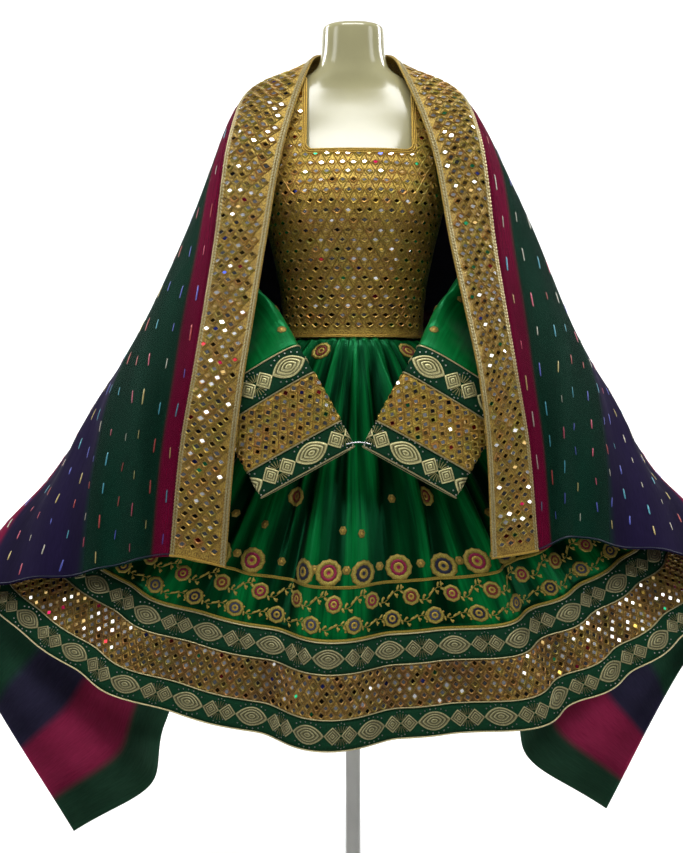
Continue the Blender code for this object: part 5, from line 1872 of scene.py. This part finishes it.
# Turn round the sleeve and metres down it
SLEEVE_FLOWERS = np.array(((1.02, 0.411), (0.8, 0.323), (1.9, 0.36), (0.3, 0.26)))
cuff_pieces, sleeve_flowers = [], []
for number, (label, surface, side) in enumerate(SLEEVE_SIDES):
    ground, around, metres_to = cuff_ruler(surface, -side)
    pitch = around / round(around / CUFF_STEP)
    u, v = lattice(0.0, around - pitch / 4, CUFF_STOPS[1] + 0.006, CUFF_STOPS[2] - 0.005, pitch,
                   CUFF_ROW)
    # Painted reflections and light: more mirrors are painted bright on the right cuff than on the
    # left.
    cuff_pieces += mirror_work("cuff_" + label, ground, u, v, CUFF_MIRROR, CUFF_MIRROR, pitch,
                               CUFF_ROW, 31 + number, BRIGHT_GOLD, 0.4 + 0.35 * number)
    motifs, beads = [], []
    for middle, first in CUFF_MIDDLES:
        more, more_beads = ribbon_work(around, middle, first, CUFF_PAINTED_LIGHT)
        motifs += more
        beads += more_beads
    cuff_pieces += sew_ribbon("cuff_motifs_" + label, "cuff_beads_" + label, ground, motifs, beads)
    edges = [cuff_cord(surface, along, CUFF_PIPING, CREAM_GOLD)
             for along in (*CUFF_STOPS[:3], CUFF_STOPS[3] - 0.0005)]
    cuff_pieces.append(cords("cuff_pipings_" + label, edges, BRAID, sides=6))
    sleeve_flowers.append(embroider("sleeve_flowers_" + label, ground, (
        (small_flower, metres_to(SLEEVE_FLOWERS[:, 0]), SLEEVE_FLOWERS[:, 1], 0.0, 1.0),), THREAD))
print("each cuff measures", round(around, 3), "m round")

# %% [markdown]
# The cuff pin
#
# One bent steel wire holds both cuffs together in front. It is a short smooth arc that lies
# across both of their faces.

# %% Pin
PIN_WIRE, PIN_FROM_HEM, PIN_TURN, PIN_BOW = 0.0009, 0.01, math.radians(60), 0.003
PIN_POINTS, PIN_GREY = 17, (0.8, 0.8, 0.8)
ends = [surface(np.array([PIN_TURN]), np.array([SLEEVE_LENGTH - PIN_FROM_HEM]))[0]
        for _, surface, _ in SLEEVE_SIDES]
share = np.linspace(0.0, 1.0, PIN_POINTS)[:, None]
pin_path = ends[0] * (1 - share) + ends[1] * share
pin_path[:, 1] -= PIN_WIRE + SEAM_GAP
pin_path[:, 2] += PIN_BOW * np.sin(math.pi * share[:, 0])
pin_out = np.tile((0.0, -1.0, 0.0), (PIN_POINTS, 1))
cords("cuff_pin_wire", [(pin_path, pin_out, PIN_WIRE, False, PIN_GREY, 1.0)], WIRE,
      ["cuff_pin"], 10)
print("the pin spans", round(float(np.linalg.norm(ends[1] - ends[0])) * 1000), "mm")

# %% [markdown]
# The shawl's cloth
#
# The voile is one long sheet, so one shell carries all its stripes. A sheet for each would have
# folds to match at every seam. The front stripes let the cloth under them show faintly, with a
# sheerer finish. The gold border is a second, denser shell.

# %% Voile and border
VOILE_THICK, BORDER_THICK = 0.0008, 0.0018
shawl_along = np.linspace(-SHAWL_HALF, SHAWL_HALF, 241)
border_along = np.linspace(-SHAWL_HALF, SHAWL_HALF, 481)
shawl_rows = np.linspace(SHAWL_BORDER + SEAM_GAP, SHAWL_WIDTH, 96)


def shawl_shade(along, width):
    """Painted shade of soft folds that fan out from the shoulders, darker in their troughs."""
    away = np.abs(along)
    fan = np.sin(46.0 * width - 9.0 * away + 1.5 * np.sin(7.0 * away))
    fine = np.sin(118.0 * width + 14.0 * away)
    return np.clip(0.62 + 0.26 * fan + 0.12 * fine, 0.0, 1.0)


shawl_cloth = cloth("shawl_voile", shawl, shawl_along, shawl_rows, lambda a, b: (a, b), VOILE,
                    ["shawl_cloth"], VOILE_THICK, shade=shawl_shade)
front_stripes = shawl_rows[:-1] + np.diff(shawl_rows) / 2 < SHEER_TO
shawl_cloth.data.materials.append(SHEER_VOILE)
shawl_cloth.data.polygons.foreach_set(
    "material_index", np.repeat(front_stripes, len(shawl_along) - 1).astype(np.int32))
# Painted shade: the border's gold is darker away from the back of the neck, down its hanging ends.
shawl_border = cloth("shawl_border_cloth", shawl, border_along,
                     np.linspace(0.0, SHAWL_BORDER, 12), lambda a, b: (a, b), GOLD_GROUND,
                     ["shawl_border"], BORDER_THICK,
                     shade=lambda a, b: 0.75 - 0.35 * ease((np.abs(a) - 0.25) / 0.4))
print(front_stripes.sum(), "of", len(front_stripes), "rows of the voile are sheer")

# %% [markdown]
# The border's mirrors
#
# The border has the largest mirrors of the outfit, with their long corners pointing across it. Its
# rows run across too, so its ground is the shawl with its two directions exchanged.

# %% Shawl mirrors
# SHAWL_BRIGHT is the share of the border's mirrors painted with reflections of the lamps.
SHAWL_PITCH, SHAWL_ROW, SHAWL_BRIGHT = 0.018, 0.0115, 0.13
v, u = lattice(0.012, SHAWL_BORDER - 0.01, -SHAWL_HALF + 0.01, SHAWL_HALF - 0.01,
               SHAWL_PITCH, SHAWL_ROW, 0.0025)
SHAWL_TURNED = Ground(lambda across, along: shawl(along, across), side=-1.0)
SHAWL_MIRRORS = mirror_work("shawl", SHAWL_TURNED, v, u, 0.0054, 0.0036, SHAWL_PITCH, SHAWL_ROW,
                            41, BRIGHT_GOLD, SHAWL_BRIGHT)

# %% [markdown]
# Sequin dashes
#
# Short dashes of metal strip are woven into the voile along its stripes. A pattern in the material
# would lie flat and dull, so each is a small motif of its own colour.

# %% Sequin dashes
DASH_COLOURS = np.array(((0.42, 0.33, 0.11), (0.46, 0.05, 0.1), (0.04, 0.28, 0.38),
                         (0.06, 0.08, 0.44), (0.38, 0.03, 0.025), (0.42, 0.4, 0.33)))
DASH_HALF_LONG, DASH_HALF_WIDE, DASH_STEP, DASH_ROW = 0.0115, 0.0012, 0.066, 0.034


def dash_outline(t):
    """A thin strip with rounded corners."""
    return (DASH_HALF_LONG * np.sign(np.cos(t)) * np.abs(np.cos(t)) ** 0.5,
            DASH_HALF_WIDE * np.sign(np.sin(t)) * np.abs(np.sin(t)) ** 0.5)


DASH = both_ways(motif(dash_outline, ((1.0, 0.0, WHITE), (0.6, 0.0006, WHITE)), 8))
SHAWL = Ground(shawl)
rng = np.random.default_rng(51)
dash_u, dash_v = [], []
for row, width in enumerate(np.arange(0.112, 0.99, DASH_ROW)):
    start = -SHAWL_HALF + 0.03 + (0.03 if row % 2 else 0.0)
    line = np.arange(start, SHAWL_HALF - 0.02, DASH_STEP)
    dash_u.append(line + rng.normal(0.0, 0.004, len(line)))
    dash_v.append(np.full(len(line), width) + rng.normal(0.0, 0.0015, len(line)))
dash_u, dash_v = np.concatenate(dash_u), np.concatenate(dash_v)
dash_tint = DASH_COLOURS[rng.integers(0, len(DASH_COLOURS), len(dash_u))]
dashes = embroider("shawl_dashes", SHAWL, (
    (DASH, dash_u, dash_v, rng.normal(0.0, 0.05, len(dash_u)),
     rng.uniform(0.6, 1.25, len(dash_u)), dash_tint),), LUREX)
print("the voile has", len(dash_u), "dashes")

# %% [markdown]
# The shawl's edges
#
# Two rows of small loops that lean against each other look like a plait, and edge both long sides
# of the border. Its ends have a round gold cord, and the voile's rolled edges a thin dark one.

# %% Loops and edge cords
LOOP_STEP, LOOP_LEAN, END_CORD, ROLLED_EDGE, ROLLED_FLAT = 0.0052, 0.55, 0.0018, 0.0009, 0.5


def edge_run(along, width, radius, colour, flat=1.0):
    """A cord's run on the shawl."""
    return (shawl(along, width), facing(shawl, along, width, 0.002, 0.002), radius, False, colour,
            flat)


loop = both_ways(motif(eye_outline(0.0042, 0.0022), ((1.0, 0.0, BRIGHT_GOLD),
                                                     (0.6, 0.0019, CREAM_GOLD)), 6))
loop_u = np.arange(-SHAWL_HALF + 0.004, SHAWL_HALF - 0.003, LOOP_STEP)
loops = embroider("shawl_edge_loops", SHAWL, (
    (loop, loop_u, 0.003, LOOP_LEAN, 1.15), (loop, loop_u, 0.0075, -LOOP_LEAN, 1.15),
    (loop, loop_u, SHAWL_BORDER - 0.0065, LOOP_LEAN, 1.0),
    (loop, loop_u, SHAWL_BORDER - 0.002, -LOOP_LEAN, 1.0)), GOLD_CORD)
end_width = np.linspace(0.0, SHAWL_BORDER, 30)
side_width = np.linspace(SHAWL_BORDER, SHAWL_WIDTH, 160)
runs = [edge_run(end * (SHAWL_HALF - 0.002), end_width, END_CORD, BRIGHT_GOLD)
        for end in (-1.0, 1.0)]
runs += [edge_run(end * (SHAWL_HALF - 0.004), side_width, ROLLED_EDGE, NAVY, ROLLED_FLAT)
         for end in (-1.0, 1.0)]
runs.append(edge_run(np.linspace(-SHAWL_HALF, SHAWL_HALF, 300), SHAWL_WIDTH - 0.003,
                     ROLLED_EDGE, NAVY, ROLLED_FLAT))
edge_cords = cords("shawl_edge_cords", runs, BRAID, sides=6)
print("the plait has", 4 * len(loop_u), "loops")

# %% [markdown]
# The cuffs' pieces
#
# Each sleeve's five cuff pieces are picked out by name: mirrors, cords, motifs, beads and
# pipings.

# %% The cuffs' pieces
for number, sleeve_cloth in enumerate(sleeves):
    mirrors, net, motifs, beads, cuff_edges = cuff_pieces[5 * number:5 * number + 5]

# %% [markdown]
# The studio
#
# A pale seamless sweep, large soft lights above and to both sides, and a dim front, which gives
# the mirrors their dark glints where they face the camera and bright ones where they look up.
# Two more lights shine on the backdrop alone and keep it white.

# %% Floor and lights
SWEEP_HALF, SWEEP_NEAR, SWEEP_BEND, SWEEP_RADIUS, SWEEP_TOP = 7.0, -4.0, 2.4, 1.2, 6.0


def sweep():
    """A floor that curves up into a backdrop."""
    bend = np.linspace(0.0, math.pi / 2, 24)
    profile = [(SWEEP_NEAR, 0.0)]
    profile += [(SWEEP_BEND + SWEEP_RADIUS * math.sin(t), SWEEP_RADIUS - SWEEP_RADIUS * math.cos(t))
                for t in bend]
    profile.append((SWEEP_BEND + SWEEP_RADIUS, SWEEP_TOP))
    points = [(x, y, z) for y, z in profile for x in (-SWEEP_HALF, SWEEP_HALF)]
    faces = [(2 * k, 2 * k + 1, 2 * k + 3, 2 * k + 2) for k in range(len(profile) - 1)]
    mesh = bpy.data.meshes.new("floor_sweep")
    mesh.from_pydata(points, [], faces)
    mesh.shade_smooth()
    made, tree, shader = finish("pale_paper", 0.9, colour=(0.9, 0.9, 0.9))
    fibres = node(tree, "ShaderNodeTexNoise", Scale=400.0, Detail=2.0)
    bump(tree, shader, fibres.outputs[0], 0.0002, 0.2)
    mesh.materials.append(made)
    placed("floor_sweep", mesh)


def soft_light(name, place, aim, size, power):
    """A soft lamp of so many watts at a place, turned to what it lights."""
    lamp = bpy.data.lights.new(name, "AREA")
    lamp.shape = "RECTANGLE"
    lamp.size, lamp.size_y = size
    lamp.energy = power
    item = placed(name, lamp)
    item.location = place
    item.rotation_euler = (Vector(aim) - Vector(place)).to_track_quat("-Z", "Y").to_euler()


sweep()
soft_light("top_light", (0.0, -1.1, 3.2), (0.0, 0.0, 1.0), (1.6, 0.8), 45.0)
soft_light("left_light", (-2.3, -1.7, 2.2), (0.0, 0.0, 0.9), (0.8, 1.5), 13.0)
soft_light("right_light", (2.3, -1.7, 2.2), (0.0, 0.0, 0.9), (0.8, 1.5), 13.0)
soft_light("back_left", (-2.4, 1.0, 2.6), (-0.6, 3.2, 1.0), (1.4, 1.4), 105.0)
soft_light("back_right", (2.4, 1.0, 2.6), (0.6, 3.2, 1.0), (1.4, 1.4), 105.0)


def studio_world():
    """Bright above and dim towards the horizon, as a room with its lamps overhead."""
    world = bpy.data.worlds.new("studio")
    world.use_nodes = True
    tree = world.node_tree
    place = node(tree, "ShaderNodeTexCoord")
    parts = node(tree, "ShaderNodeSeparateXYZ")
    tree.links.new(place.outputs["Generated"], parts.inputs[0])
    sky = ramp(tree, parts.outputs[2], ((0.05, (0.1, 0.1, 0.11)), (0.3, (0.4, 0.42, 0.45)),
                                        (0.75, WHITE)))
    tree.links.new(sky, tree.nodes["Background"].inputs[0])
    tree.nodes["Background"].inputs[1].default_value = 0.3
    bpy.context.scene.world = world


studio_world()
bpy.context.scene.view_settings.view_transform = "Standard"

# %% [markdown]
# Triangles, and the end
#
# The last cell prints how many triangles the pieces have, and which piece has most. Cloth and
# trim add only a few millimetres.

# %% Triangles, and the end
print("triangles:", sum(COUNTS.values()), "in", len(COUNTS), "pieces; largest",
      max(COUNTS, key=COUNTS.get), max(COUNTS.values()))
